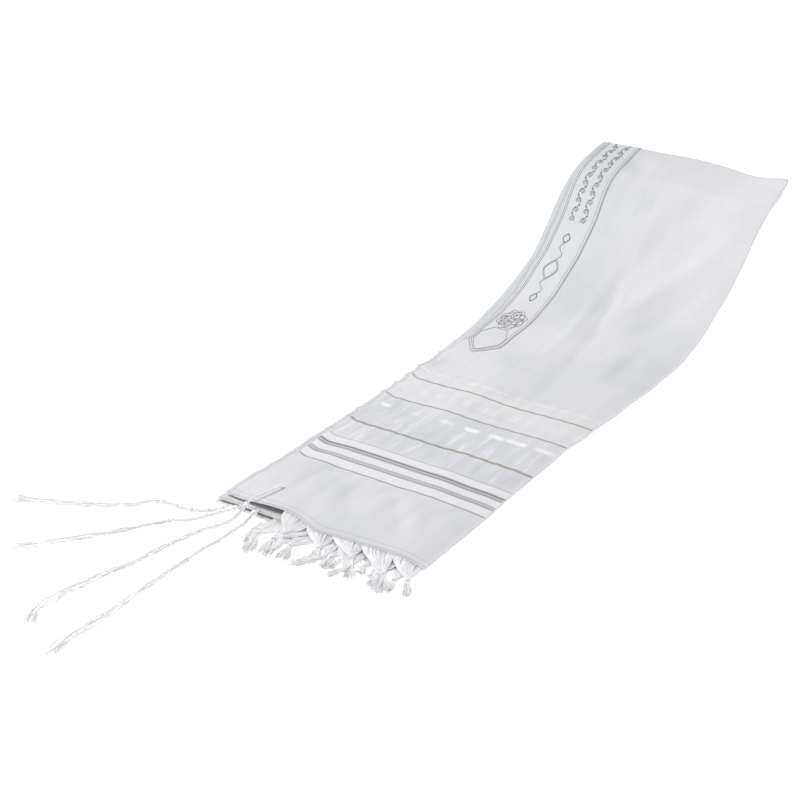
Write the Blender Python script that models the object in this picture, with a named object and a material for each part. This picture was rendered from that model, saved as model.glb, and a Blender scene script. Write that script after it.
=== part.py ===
# A prayer shawl of fine white wool, 0.60 m wide and 1.80 m long, as it lies on a table.
# It is folded lengthwise along its right side and once crosswise at its far end, so four
# leaves lie on each other. The near end is flat and the far end rises in a soft S.
# Metres, +Z up, +Y from the fringed end towards the raised fold, +X towards the long fold.

import math

import bmesh
import bpy
import numpy as np
from mathutils import Matrix, Vector

# Sizes of the folded shawl
FOLDED_WIDTH = 0.300
FOLDED_LENGTH = 0.900
LEAF = 0.0019
SLOT_HEIGHT = 0.0024
HALF_THICKNESS = 2 * LEAF + SLOT_HEIGHT
HALVES_GAP = 0.0005
STACK = 2 * HALF_THICKNESS + HALVES_GAP
ORIGIN_FROM_NEAR_END = 0.180
SEAM_GAP = 0.0003

# Slope of the upper half along the cloth, and how it leans and drifts sideways.
# Columns: distance from the near end (m), slope (deg), drift to the right (m), bank (deg),
# where a negative bank lifts the left edge.
SECTIONS = [
    (0.00, 0.0, 0.006, 0.0),
    (0.12, 0.0, 0.002, 0.0),
    (0.22, 0.0, -0.004, 0.0),
    (0.27, 0.0, -0.006, 0.0),
    (0.33, 7.5, -0.006, 0.0),
    (0.39, 12.0, 0.003, -0.8),
    (0.45, 15.5, 0.017, -1.5),
    (0.51, 19.5, 0.034, -2.0),
    (0.57, 27.0, 0.049, -2.7),
    (0.63, 40.0, 0.058, -3.1),
    (0.69, 44.0, 0.065, -3.7),
    (0.75, 47.0, 0.068, -5.4),
    (0.81, 34.0, 0.069, -6.2),
    (0.87, 18.5, 0.072, -5.2),
    (0.90, 15.0, 0.073, -4.8),
]
# The lower half stays on the table longer and rises to meet the upper one between these.
# An ease under 1 lifts it sooner. It lies to the left by a share of how far it hangs down.
LOWER_LIFTS_AT = 0.46
LOWER_MEETS_AT = 0.67
LOWER_EASE = 0.8
LOWER_LAG = 1.2

# Spacing of the sections along the cloth, and of the points across it
FLAT_STEP = 0.030
RAISED_STEP = 0.025
FACE_POINTS = 13
FOLD_POINTS = 4
SLOT_POINTS = 7
TURN_STEPS = 8

# Open edges: how far the slot between two leaves runs in from the left, and at the near end
SLOT_DEPTH = 0.030
SLOT_AT_NEAR_END = 0.295
NEAR_END_REACH = 0.050

# The four leaves, top to bottom: how far each stands out past the top one, left and near,
# and the height of its middle where the cloth lies flat (m)
LEAVES = {
    "leaf_1": {"left": 0.000, "near": 0.000, "middle": STACK - LEAF / 2},
    "leaf_2": {"left": 0.003, "near": 0.003, "middle": STACK - HALF_THICKNESS + LEAF / 2},
    "leaf_3": {"left": 0.005, "near": 0.005, "middle": HALF_THICKNESS - LEAF / 2},
    "leaf_4": {"left": 0.008, "near": 0.008, "middle": LEAF / 2},
}
HEM_WIDTH = 0.014
HEM_HEIGHT = 0.0006

# Soft swells of the top leaf. Columns: distance from the near end, place across, half
# length along, half width across, turn (deg), height (all m but the turn).
SWELLS = [
    (0.000, -0.075, 0.040, 0.030, 0, 0.0030),
    (0.020, 0.045, 0.060, 0.035, -20, 0.0014),
    (0.110, -0.100, 0.090, 0.018, 12, 0.0018),
    (0.200, 0.060, 0.110, 0.022, -14, 0.0013),
    (0.430, -0.020, 0.120, 0.030, 10, 0.0030),
    (0.600, 0.050, 0.120, 0.026, -8, 0.0040),
    (0.790, 0.010, 0.080, 0.030, 24, 0.0045),
]

# Neckband: a strip sewn on the top leaf along its left edge and on round the far fold, with
# a blunt point at each end. It runs closer to the edge near the fold.
NECKBAND_START = 0.472
NECKBAND_HIDDEN_START = 0.484
NECKBAND_POINT = 0.022
NECKBAND_BLUNT = 0.12
NECKBAND_MARGIN = 0.013
NECKBAND_MARGIN_AT_FOLD = 0.0065
NECKBAND_DRIFTS = (0.74, 0.82)
NECKBAND_WIDTH = 0.057
NECKBAND_THICKNESS = 0.0012
NECKBAND_COLUMNS = 5

# Fringe: a row for each leaf, with the place of its first tassel across and their number
FRINGE_ROWS = {
    "leaf_1": {"first": -0.033, "count": 5, "drop": 0.0045},
    "leaf_2": {"first": -0.023, "count": 4, "drop": 0.0015},
    "leaf_3": {"first": -0.043, "count": 5, "drop": 0.0008},
    "leaf_4": {"first": -0.053, "count": 5, "drop": -0.0036},
}
TASSEL_PITCH = 0.040
TASSEL_ROOT = 0.034
TASSEL_WEB = 0.030
TASSEL_KNOT = 0.0037
STRIP_DEPTH = 0.0030
STRIP_HEIGHT = 0.0012
STRIP_OVERHANG = 0.0010
REST_CLEARANCE = 0.0006
# Columns: share of the web's length, share of the way down to the knot, half width, half
# height of the bundled threads (m). Past 1 it is the knot, a little longer than it is wide.
TASSEL_PROFILE = [
    (0.50, 0.33, 0.0068, 0.0006),
    (0.75, 0.67, 0.0042, 0.0008),
    (1.00, 1.00, 0.0022, 0.0018),
    (1.07, 1.00, TASSEL_KNOT, TASSEL_KNOT),
    (1.17, 1.00, TASSEL_KNOT, TASSEL_KNOT),
    (1.25, 1.00, 0.0024, 0.0020),
]
# The brush below each knot: its length, its strands' half width, and how far they part
BRUSH_LENGTH = 0.022
BRUSH_STRAND = 0.0009
BRUSH_SPREAD = 0.0038
BRUSH_SHARES = (0.25, 0.6, 1.0)

# Corner tassels, the tzitzit: one for each leaf, a cord with five knots that opens into
# eight strands. Its knots lie between the ends of its loop and of its knotted stretch.
# Route columns: x, y from the near end, height of the cord's line above the table (m).
CORD_RADIUS = 0.0021
KNOT_RADIUS = 0.0034
KNOT_LENGTH = 0.0030
CORD_KNOTS = 5
CORD_STEP = 0.0022
STRAND_RADIUS = 0.00065
ROOT_INSET = 0.00025
STRAND_STEPS = 9
# How far the strands stand off the cord's line: sideways at their roots and at their ends,
# and up or down
STRANDS_AT_ROOT = 0.0024
STRANDS_AT_END = 0.0054
STRANDS_HEIGHT = 0.0021
TZITZIT = {
    "tzitzit_1": {
        "knotted": 0.095,
        "loop": 0.010,
        "route": [
            (-0.122, -0.0085, 0.0042), (-0.130, -0.030, 0.0046), (-0.145, -0.043, 0.0046),
            (-0.166, -0.049, 0.0046), (-0.193, -0.050, 0.0040), (-0.210, -0.058, 0.0034),
            (-0.229, -0.082, 0.0034), (-0.269, -0.108, 0.0034), (-0.319, -0.132, 0.0034),
            (-0.357, -0.150, 0.0034),
        ],
    },
    "tzitzit_2": {
        "knotted": 0.088,
        "loop": 0.010,
        "route": [
            (-0.108, -0.0056, 0.0066), (-0.114, -0.022, 0.0062), (-0.126, -0.040, 0.0046),
            (-0.138, -0.066, 0.0046), (-0.156, -0.078, 0.0040), (-0.173, -0.102, 0.0034),
            (-0.189, -0.130, 0.0034), (-0.212, -0.163, 0.0034), (-0.244, -0.203, 0.0034),
            (-0.265, -0.230, 0.0034),
        ],
    },
    "tzitzit_3": {
        "knotted": 0.128,
        "loop": 0.060,
        "route": [
            (-0.089, 0.048, 0.0172), (-0.092, 0.022, 0.0178), (-0.095, 0.003, 0.0188),
            (-0.096, -0.009, 0.0150), (-0.097, -0.022, 0.0092), (-0.097, -0.037, 0.0050),
            (-0.101, -0.054, 0.0046), (-0.111, -0.074, 0.0040), (-0.117, -0.101, 0.0034),
            (-0.122, -0.134, 0.0034), (-0.125, -0.170, 0.0034), (-0.133, -0.203, 0.0034),
            (-0.139, -0.238, 0.0034), (-0.143, -0.272, 0.0034), (-0.139, -0.303, 0.0034),
            (-0.126, -0.323, 0.0034),
        ],
    },
    "tzitzit_4": {
        "knotted": 0.100,
        "loop": 0.010,
        "route": [
            (-0.083, -0.0036, 0.0088), (-0.082, -0.016, 0.0080), (-0.080, -0.035, 0.0050),
            (-0.079, -0.058, 0.0046), (-0.078, -0.084, 0.0046), (-0.081, -0.104, 0.0040),
            (-0.080, -0.132, 0.0034), (-0.080, -0.154, 0.0034), (-0.078, -0.184, 0.0034),
            (-0.076, -0.226, 0.0034), (-0.073, -0.261, 0.0034), (-0.072, -0.300, 0.0034),
            (-0.071, -0.336, 0.0034), (-0.068, -0.356, 0.0034),
        ],
    },
}

WHITE_WOOL = {"colour": (0.74, 0.75, 0.78), "roughness": 0.82}
WHITE_SILK = {"colour": (0.80, 0.80, 0.83), "roughness": 0.48}
WHITE_YARN = {"colour": (0.86, 0.86, 0.87), "roughness": 0.90}


def clear_scene():
    for thing in list(bpy.data.objects):
        bpy.data.objects.remove(thing, do_unlink=True)


def new_collection(name):
    group = bpy.data.collections.new(name)
    bpy.context.scene.collection.children.link(group)
    return group


def new_material(name, look):
    material = bpy.data.materials.new(name)
    material.use_nodes = True
    shader = material.node_tree.nodes["Principled BSDF"]
    shader.inputs["Base Color"].default_value = (*look["colour"], 1.0)
    shader.inputs["Roughness"].default_value = look["roughness"]
    shader.inputs["Metallic"].default_value = 0.0
    return material


def new_object(name, bm, group, look):
    """Turn a bmesh into a named object with its own material, faces outwards."""
    bmesh.ops.recalc_face_normals(bm, faces=bm.faces[:])
    if bm.calc_volume(signed=True) < 0:
        bmesh.ops.reverse_faces(bm, faces=bm.faces[:])
    mesh = bpy.data.meshes.new(name)
    bm.to_mesh(mesh)
    bm.free()
    mesh.materials.append(new_material(name, look))
    thing = bpy.data.objects.new(name, mesh)
    group.objects.link(thing)
    return thing


def smooth_step(low, high, value):
    t = min(max((value - low) / (high - low), 0.0), 1.0)
    return t * t * (3.0 - 2.0 * t)


def column(index, distance):
    """One column of the section table, eased smoothly from row to row."""
    rows = SECTIONS
    for low, high in zip(rows, rows[1:]):
        if distance <= high[0] + 1e-9:
            t = smooth_step(low[0], high[0], distance)
            straight = (distance - low[0]) / (high[0] - low[0])
            return low[index] + (high[index] - low[index]) * (0.5 * t + 0.5 * straight)
    return rows[-1][index]


def stations():
    """Distances along the cloth at which it has a section."""
    listed = [0.0, HEM_WIDTH - 0.0005, HEM_WIDTH + 0.0005]
    lift = SECTIONS[3][0]
    flat = max(2, round((lift - listed[-1]) / FLAT_STEP))
    listed += [listed[-1] + (lift - listed[-1]) * k / flat for k in range(1, flat + 1)]
    raised = round((FOLDED_LENGTH - lift) / RAISED_STEP)
    listed += [lift + (FOLDED_LENGTH - lift) * k / raised for k in range(1, raised + 1)]
    return listed


def upper_line():
    """Fine table of (y, z) of the upper half's top face, summed up from its slope."""
    step = 0.001
    y, z = -ORIGIN_FROM_NEAR_END, STACK
    line = [(y, z)]
    for k in range(round(FOLDED_LENGTH / step)):
        slope = math.radians(column(1, (k + 0.5) * step))
        y += step * math.cos(slope)
        z += step * math.sin(slope)
        line.append((y, z))
    return np.array(line), step


UPPER_LINE, LINE_STEP = upper_line()


def on_upper_line(distance):
    k = distance / LINE_STEP
    along = np.arange(len(UPPER_LINE))
    return np.interp(k, along, UPPER_LINE[:, 0]), np.interp(k, along, UPPER_LINE[:, 1])


def upper_frame(distance):
    """Centre, across and outward directions of the upper half's top face."""
    y, z = on_upper_line(distance)
    slope = math.radians(column(1, distance))
    bank = math.radians(column(3, distance))
    forward = Vector((0.0, math.cos(slope), math.sin(slope)))
    level = Vector((1.0, 0.0, 0.0))
    normal = level.cross(forward)
    across = level * math.cos(bank) + normal * math.sin(bank)
    outward = across.cross(forward)
    return Vector((column(2, distance), y, z)), across, outward


def lower_height(distance):
    """Height of the lower half's inner face, and how far it hangs below the upper half."""
    slope = math.radians(column(1, distance))
    y, z = on_upper_line(distance)
    thick = HALF_THICKNESS + HALVES_GAP
    y, z = y + thick * math.sin(slope), z - thick * math.cos(slope)
    flat = HALF_THICKNESS
    lifted = max(distance - LOWER_LIFTS_AT, 0.0) / (LOWER_MEETS_AT - LOWER_LIFTS_AT)
    rise = smooth_step(0.0, 1.0, lifted ** LOWER_EASE)
    return y, flat + (z - flat) * rise, (z - flat) * (1.0 - rise), rise


def lower_frame(distance):
    """Centre, across and outward directions of the lower half's underside."""
    y, z, sag, rise = lower_height(distance)
    reach = 0.002
    before = max(distance - reach, 0.0)
    after = min(distance + reach, FOLDED_LENGTH)
    y0, z0 = lower_height(before)[:2]
    y1, z1 = lower_height(after)[:2]
    forward = Vector((0.0, y1 - y0, z1 - z0)).normalized()
    level = Vector((1.0, 0.0, 0.0))
    normal = level.cross(forward)
    bank = math.radians(column(3, distance)) * rise
    across = level * math.cos(bank) + normal * math.sin(bank)
    inward = across.cross(forward)
    drift = column(2, distance) - LOWER_LAG * sag
    centre = Vector((drift, y, z)) - inward * HALF_THICKNESS
    return centre, across, -inward


def turned_frame(angle):
    """The upper half's last section, turned about the inside of the far fold."""
    centre, across, outward = upper_frame(FOLDED_LENGTH)
    pivot = centre - outward * (HALF_THICKNESS + HALVES_GAP / 2)
    turn = Matrix.Rotation(-angle, 3, across)
    return pivot + turn @ (centre - pivot), across, turn @ outward


def swell(distance, across):
    """Height of the top leaf's soft swells, fading out towards the long fold."""
    total = 0.0
    for along, place, length, width, turn, height in SWELLS:
        angle = math.radians(turn)
        a, b = distance - along, across - place
        p = (a * math.cos(angle) + b * math.sin(angle)) / length
        q = (b * math.cos(angle) - a * math.sin(angle)) / width
        total += height * math.exp(-p * p - q * q)
    total *= 1.0 - smooth_step(0.105, 0.140, across)
    return total + (HEM_HEIGHT if distance <= HEM_WIDTH else 0.0)


def slot_depth(distance):
    """How far the slot between two leaves runs in from the left edge."""
    near = 1.0 - smooth_step(0.0, NEAR_END_REACH, distance)
    return SLOT_DEPTH + (SLOT_AT_NEAR_END - SLOT_DEPTH) * near


def section(distance, outer_leaf, inner_leaf):
    """Loop of (across, depth from the outer face, near setback) round a doubled half."""
    left_out = -FOLDED_WIDTH / 2 - LEAVES[outer_leaf]["left"]
    left_in = -FOLDED_WIDTH / 2 - LEAVES[inner_leaf]["left"]
    near_out, near_in = LEAVES[outer_leaf]["near"], LEAVES[inner_leaf]["near"]
    near_fold = min(near_out, near_in)
    radius = HALF_THICKNESS / 2
    right = FOLDED_WIDTH / 2 - radius
    root = -FOLDED_WIDTH / 2 + slot_depth(distance)
    loop = [(x, 0.0, near_out) for x in np.linspace(left_out, right, FACE_POINTS)]
    for k in range(1, FOLD_POINTS + 1):
        angle = math.pi * k / (FOLD_POINTS + 1)
        depth = radius * (1 - math.cos(angle))
        loop.append((right + radius * math.sin(angle), depth, near_fold))
    loop += [(x, HALF_THICKNESS, near_in) for x in np.linspace(right, left_in, FACE_POINTS)]
    floor, ceiling = HALF_THICKNESS - LEAF, LEAF
    loop += [(x, floor, near_in) for x in np.linspace(left_in, root, SLOT_POINTS)]
    loop.append((root + SLOT_HEIGHT / 2, HALF_THICKNESS / 2, near_fold))
    loop += [(x, ceiling, near_out) for x in np.linspace(root, left_out, SLOT_POINTS)]
    return loop


def skin(bm, rings):
    """Closed body through rings of equal length, with a face across each end."""
    rows = [[bm.verts.new(point) for point in ring] for ring in rings]
    for low, high in zip(rows, rows[1:]):
        for k in range(len(low)):
            after = (k + 1) % len(low)
            bm.faces.new((low[k], low[after], high[after], high[k]))
    bm.faces.new(rows[0])
    bm.faces.new(reversed(rows[-1]))


def half_rings(frames, outer_leaf, inner_leaf, lifted):
    """World rings of a doubled half. Each frame row is (distance, centre, across, outward)."""
    rings = []
    for distance, centre, across, outward in frames:
        near_share = 1.0 - smooth_step(0.0, NEAR_END_REACH, distance)
        ring = []
        for x, depth, near in section(distance, outer_leaf, inner_leaf):
            point = centre + across * x - outward * depth
            if lifted and depth <= LEAF:
                point = point + outward * swell(distance, x)
            point.y -= near * near_share
            ring.append(point)
        rings.append(ring)
    return rings


def upper_frames():
    rows = [(s, *upper_frame(s)) for s in stations()]
    for k in range(1, TURN_STEPS + 1):
        rows.append((FOLDED_LENGTH, *turned_frame(math.pi * k / TURN_STEPS)))
    return rows


def lower_frames():
    far = FOLDED_LENGTH - SEAM_GAP
    return [(min(s, far), *lower_frame(min(s, far))) for s in stations()]


def build_cloth(group):
    bm = bmesh.new()
    skin(bm, half_rings(upper_frames(), "leaf_1", "leaf_2", lifted=True))
    new_object("cloth_upper_half", bm, group, WHITE_WOOL)
    bm = bmesh.new()
    skin(bm, half_rings(lower_frames(), "leaf_4", "leaf_3", lifted=False))
    new_object("cloth_lower_half", bm, group, WHITE_WOOL)


def build_neckband(group):
    """Strip over the outer faces of both halves, round the far fold, pointed at each end."""
    clear = NECKBAND_POINT + 0.003
    ends = [NECKBAND_START, NECKBAND_START + NECKBAND_POINT]
    rows = [(s, upper_frame(s), True) for s in ends]
    rows += [(s, f, True) for s, *f in upper_frames() if s > NECKBAND_START + clear]
    back = [(s, f, False) for s, *f in lower_frames() if s > NECKBAND_HIDDEN_START + clear]
    rows += list(reversed(back))[1:]
    ends = [NECKBAND_HIDDEN_START + NECKBAND_POINT, NECKBAND_HIDDEN_START]
    rows += [(s, lower_frame(s), False) for s in ends]
    rings = []
    for distance, (centre, across, outward), lifted in rows:
        start = NECKBAND_START if lifted else NECKBAND_HIDDEN_START
        point = smooth_step(0.0, NECKBAND_POINT, distance - start)
        half = NECKBAND_WIDTH / 2 * (NECKBAND_BLUNT + (1 - NECKBAND_BLUNT) * point)
        drift = smooth_step(*NECKBAND_DRIFTS, distance)
        margin = NECKBAND_MARGIN + (NECKBAND_MARGIN_AT_FOLD - NECKBAND_MARGIN) * drift
        middle = -FOLDED_WIDTH / 2 + margin + NECKBAND_WIDTH / 2
        places = np.linspace(middle - half, middle + half, NECKBAND_COLUMNS)
        lower, upper = [], []
        for x in places:
            raised = swell(distance, x) if lifted else 0.0
            base = centre + across * x + outward * (raised + SEAM_GAP * 1.5)
            lower.append(base)
            upper.append(base + outward * NECKBAND_THICKNESS)
        rings.append(lower + list(reversed(upper)))
    bm = bmesh.new()
    skin(bm, rings)
    new_object("neckband", bm, group, WHITE_SILK)


def ring_directions(tangent):
    """Level and upright directions square to a strand's line."""
    level = tangent.cross(Vector((0.0, 0.0, 1.0)))
    if level.length < 1e-6:
        level = Vector((1.0, 0.0, 0.0))
    level.normalize()
    return level, level.cross(tangent).normalized()


def carry_face(bm, face, line, widths, heights):
    """Extrude one face along a line of points, its outline scaled to each width and height."""
    start = face.calc_center_median()
    tangent = face.normal.copy()
    level, upright = ring_directions(tangent)
    shape = [(v.co - start) for v in face.verts]
    shape = [(p.dot(level), p.dot(upright)) for p in shape]
    wide = max(abs(p[0]) for p in shape)
    high = max(abs(p[1]) for p in shape)
    for k, point in enumerate(line):
        last = line[k - 1] if k else start
        following = line[min(k + 1, len(line) - 1)]
        level, upright = ring_directions((following - last).normalized())
        face = bmesh.ops.extrude_discrete_faces(bm, faces=[face])["faces"][0]
        for vert, (a, b) in zip(face.verts, shape):
            vert.co = point + level * (a / wide * widths[k]) + upright * (b / high * heights[k])
        face.normal_update()
    return face


def split_into_strands(bm, face):
    """Cut an end face into one small three-sided root for each of its corners."""
    roots = bmesh.ops.poke(bm, faces=[face])["faces"]
    bmesh.ops.inset_individual(bm, faces=roots, thickness=ROOT_INSET)
    for root in roots:
        root.normal_update()
    return roots


def build_fringe(group, number, leaf, row):
    """Strip along a leaf's near edge, with a web, a knot and four strands for each tassel."""
    leaf_z = LEAVES[leaf]["middle"]
    drift = SECTIONS[0][2]
    edge = -ORIGIN_FROM_NEAR_END - LEAVES[leaf]["near"] - SEAM_GAP
    places = [row["first"] + TASSEL_PITCH * k for k in range(row["count"])]
    low = drift + places[0] - TASSEL_ROOT / 2 - STRIP_OVERHANG
    high = drift + places[-1] + TASSEL_ROOT / 2 + STRIP_OVERHANG
    size = Vector((high - low, STRIP_DEPTH, STRIP_HEIGHT))
    centre = Vector(((low + high) / 2, edge - STRIP_DEPTH / 2, leaf_z))
    bm = bmesh.new()
    block = Matrix.Translation(centre) @ Matrix.Diagonal((*size, 1.0))
    bmesh.ops.create_cube(bm, size=1.0, matrix=block)
    for place in places:
        for side in (-1, 1):
            cut = drift + place + side * TASSEL_ROOT / 2
            everything = bm.verts[:] + bm.edges[:] + bm.faces[:]
            bmesh.ops.bisect_plane(bm, geom=everything, plane_co=(cut, 0, 0), plane_no=(1, 0, 0))
    bm.faces.ensure_lookup_table()
    for place in places:
        x = drift + place
        root = [f for f in bm.faces
                if f.normal.y < -0.9 and abs(f.calc_center_median().x - x) < 0.002][0]
        front = edge - STRIP_DEPTH
        knot_z = max(leaf_z - row["drop"], TASSEL_KNOT + REST_CLEARANCE)
        line = [Vector((x, front - TASSEL_WEB * along, leaf_z + (knot_z - leaf_z) * down))
                for along, down, width, height in TASSEL_PROFILE]
        widths = [width for along, down, width, height in TASSEL_PROFILE]
        heights = [height for along, down, width, height in TASSEL_PROFILE]
        end = carry_face(bm, root, line, widths, heights)
        for strand in split_into_strands(bm, end):
            start = strand.calc_center_median()
            side = (start.x - x) / widths[-1]
            above = max(start.z - knot_z, 0.0)
            foot = REST_CLEARANCE + BRUSH_STRAND + above + abs(start.x - x) / 2
            line = []
            for share in BRUSH_SHARES:
                height = start.z + (foot - start.z) * smooth_step(0.0, 1.0, share)
                place = x + side * (widths[-1] + (BRUSH_SPREAD - widths[-1]) * share)
                line.append(Vector((place, start.y - BRUSH_LENGTH * share, height)))
            thin = [BRUSH_STRAND, BRUSH_STRAND, BRUSH_STRAND * 0.7]
            carry_face(bm, strand, line, thin, thin)
    new_object("fringe_%d" % number, bm, group, WHITE_YARN)


def smooth_route(points, spacing):
    """Even points on a smooth curve through a route (Catmull-Rom), and their distances."""
    points = [Vector(p) for p in points]
    ends = [points[0] * 2 - points[1]] + points + [points[-1] * 2 - points[-2]]
    fine = []
    for a, b, c, d in zip(ends, ends[1:], ends[2:], ends[3:]):
        for k in range(12):
            t = k / 12
            fine.append(0.5 * (2 * b + (c - a) * t + (2 * a - 5 * b + 4 * c - d) * t * t
                               + (3 * b - a - 3 * c + d) * t ** 3))
    fine.append(points[-1])
    fine = np.array(fine)
    run = np.concatenate([[0.0], np.cumsum(np.linalg.norm(np.diff(fine, axis=0), axis=1))])
    count = max(2, round(run[-1] / spacing))
    wanted = np.linspace(0.0, run[-1], count + 1)
    even = np.stack([np.interp(wanted, run, fine[:, k]) for k in range(3)], axis=1)
    return [Vector(p) for p in even], wanted


def build_tzitzit(group, name, cord):
    """Knotted cord of eight sides whose end opens into eight loose strands."""
    route = [(x, y - ORIGIN_FROM_NEAR_END, z) for x, y, z in cord["route"]]
    points, run = smooth_route(route, CORD_STEP)
    knots = np.linspace(cord["loop"], cord["knotted"], CORD_KNOTS)
    head = [k for k in range(len(points)) if run[k] <= cord["knotted"] + KNOT_LENGTH]
    tail = [k for k in range(len(points)) if run[k] > run[head[-1]] + 2 * CORD_STEP]
    kept = [k for k in head if k in (0, head[-1])
            or np.min(np.abs(knots - run[k])) < 1.6 * KNOT_LENGTH or k % 5 == 0]
    bm = bmesh.new()
    direction = (points[1] - points[0]).normalized()
    level, upright = ring_directions(direction)
    turn = Matrix((level, upright, direction)).transposed().to_4x4()
    cap = 0.0004
    place = Matrix.Translation(points[0] + direction * cap / 2) @ turn
    bmesh.ops.create_cone(bm, cap_ends=True, segments=8, radius1=CORD_RADIUS,
                          radius2=CORD_RADIUS, depth=cap, matrix=place)
    bm.faces.ensure_lookup_table()
    face = max(bm.faces, key=lambda f: f.calc_center_median().dot(direction))
    line = [points[k] for k in kept if run[k] > 2 * cap]
    radii = []
    for k in kept:
        if run[k] > 2 * cap:
            bulge = max(math.exp(-((run[k] - at) / KNOT_LENGTH) ** 2) for at in knots)
            radii.append(CORD_RADIUS + (KNOT_RADIUS - CORD_RADIUS) * bulge)
    radii[-1] = CORD_RADIUS
    face = carry_face(bm, face, line, radii, radii)
    centre = face.calc_center_median()
    level, upright = ring_directions(face.normal)
    spacing = max(1, len(tail) // STRAND_STEPS)
    chosen = tail[::spacing]
    if chosen[-1] != tail[-1]:
        chosen.append(tail[-1])
    for strand in split_into_strands(bm, face):
        offset = strand.calc_center_median() - centre
        a, b = offset.dot(level), offset.dot(upright)
        size = math.hypot(a, b)
        a, b = a / size, b / size
        line = []
        for k in chosen:
            share = (run[k] - run[tail[0]]) / (run[-1] - run[tail[0]])
            ahead = points[min(k + 1, len(points) - 1)] - points[k - 1]
            side, top = ring_directions(ahead.normalized())
            spread = STRANDS_AT_ROOT + (STRANDS_AT_END - STRANDS_AT_ROOT) * share
            line.append(points[k] + side * (a * spread) + top * (b * STRANDS_HEIGHT))
        sizes = [STRAND_RADIUS] * (len(line) - 1) + [STRAND_RADIUS * 0.5]
        carry_face(bm, strand, line, sizes, sizes)
    new_object(name, bm, group, WHITE_YARN)


def main():
    clear_scene()
    shawl = new_collection("prayer_shawl")
    build_cloth(shawl)
    build_neckband(shawl)
    for number, (leaf, row) in enumerate(FRINGE_ROWS.items(), start=1):
        build_fringe(shawl, number, leaf, row)
    for name, cord in TZITZIT.items():
        build_tzitzit(shawl, name, cord)


main()
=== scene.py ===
# A white woollen prayer shawl, folded to a quarter of its size and laid on a pale table.
# Metres, +Z up, +Y from the fringed end towards the raised fold, +X towards the long fold.
# A place on the cloth is given by its distance from the near end and its place across,
# which is 0 on the middle line and positive towards the long fold.

import math

import bpy
import numpy as np
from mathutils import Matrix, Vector


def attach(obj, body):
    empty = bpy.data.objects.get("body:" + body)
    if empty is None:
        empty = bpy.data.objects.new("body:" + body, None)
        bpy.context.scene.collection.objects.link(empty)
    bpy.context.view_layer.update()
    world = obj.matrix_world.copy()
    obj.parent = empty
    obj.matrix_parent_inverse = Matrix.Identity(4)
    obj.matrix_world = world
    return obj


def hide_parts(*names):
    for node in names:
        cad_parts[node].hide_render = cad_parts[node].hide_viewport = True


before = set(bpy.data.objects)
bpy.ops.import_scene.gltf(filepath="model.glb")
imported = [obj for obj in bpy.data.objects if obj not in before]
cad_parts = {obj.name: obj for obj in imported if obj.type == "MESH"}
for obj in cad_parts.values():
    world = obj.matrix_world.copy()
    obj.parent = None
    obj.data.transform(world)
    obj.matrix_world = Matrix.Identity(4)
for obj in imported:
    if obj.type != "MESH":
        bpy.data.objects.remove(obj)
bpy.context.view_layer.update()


# Upper half of the shawl. The real cloth is one panel of fine white wool, woven with satin
# bands and with silver and gold stripes near each end. It is folded lengthwise, so this half
# is a top leaf and a second leaf that are joined by a soft fold along the right side.

FOLDED_WIDTH = 0.300
FOLDED_LENGTH = 0.900
HALF_THICKNESS = 0.0062
HALVES_GAP = 0.0005
STACK = 2 * HALF_THICKNESS + HALVES_GAP
ORIGIN_FROM_NEAR_END = 0.180
NEAR_END_REACH = 0.050
CLOTH_WALL = 0.0011
PANEL_WIDTH = 2 * FOLDED_WIDTH
FOLD_ARC = 0.006
CORNER_DRAW = 0.0045

# Columns: distance from the near end (m), slope (deg), drift to the right (m), bank (deg)
SECTIONS = np.array([
    (0.00, 0.0, 0.006, 0.0),
    (0.12, 0.0, 0.002, 0.0),
    (0.22, 0.0, -0.004, 0.0),
    (0.27, 0.0, -0.006, 0.0),
    (0.33, 7.5, -0.006, 0.0),
    (0.39, 12.0, 0.003, -0.8),
    (0.45, 15.5, 0.017, -1.5),
    (0.51, 19.5, 0.034, -2.0),
    (0.57, 27.0, 0.049, -2.7),
    (0.63, 40.0, 0.058, -3.1),
    (0.69, 44.0, 0.065, -3.7),
    (0.75, 47.0, 0.068, -5.4),
    (0.81, 34.0, 0.069, -6.0),
    (0.87, 19.5, 0.072, -4.6),
    (0.90, 17.0, 0.073, -3.8),
])
SLOPE, DRIFT, BANK = 1, 2, 3
TURN_LENGTH = 0.021

# How far each leaf stands out past the top one, left and near (m)
LEAF_LEFT = {"leaf_1": 0.000, "leaf_2": 0.003, "leaf_3": 0.005, "leaf_4": 0.008}
LEAF_NEAR = {"leaf_1": 0.000, "leaf_2": 0.003, "leaf_3": 0.005, "leaf_4": 0.008}

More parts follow.
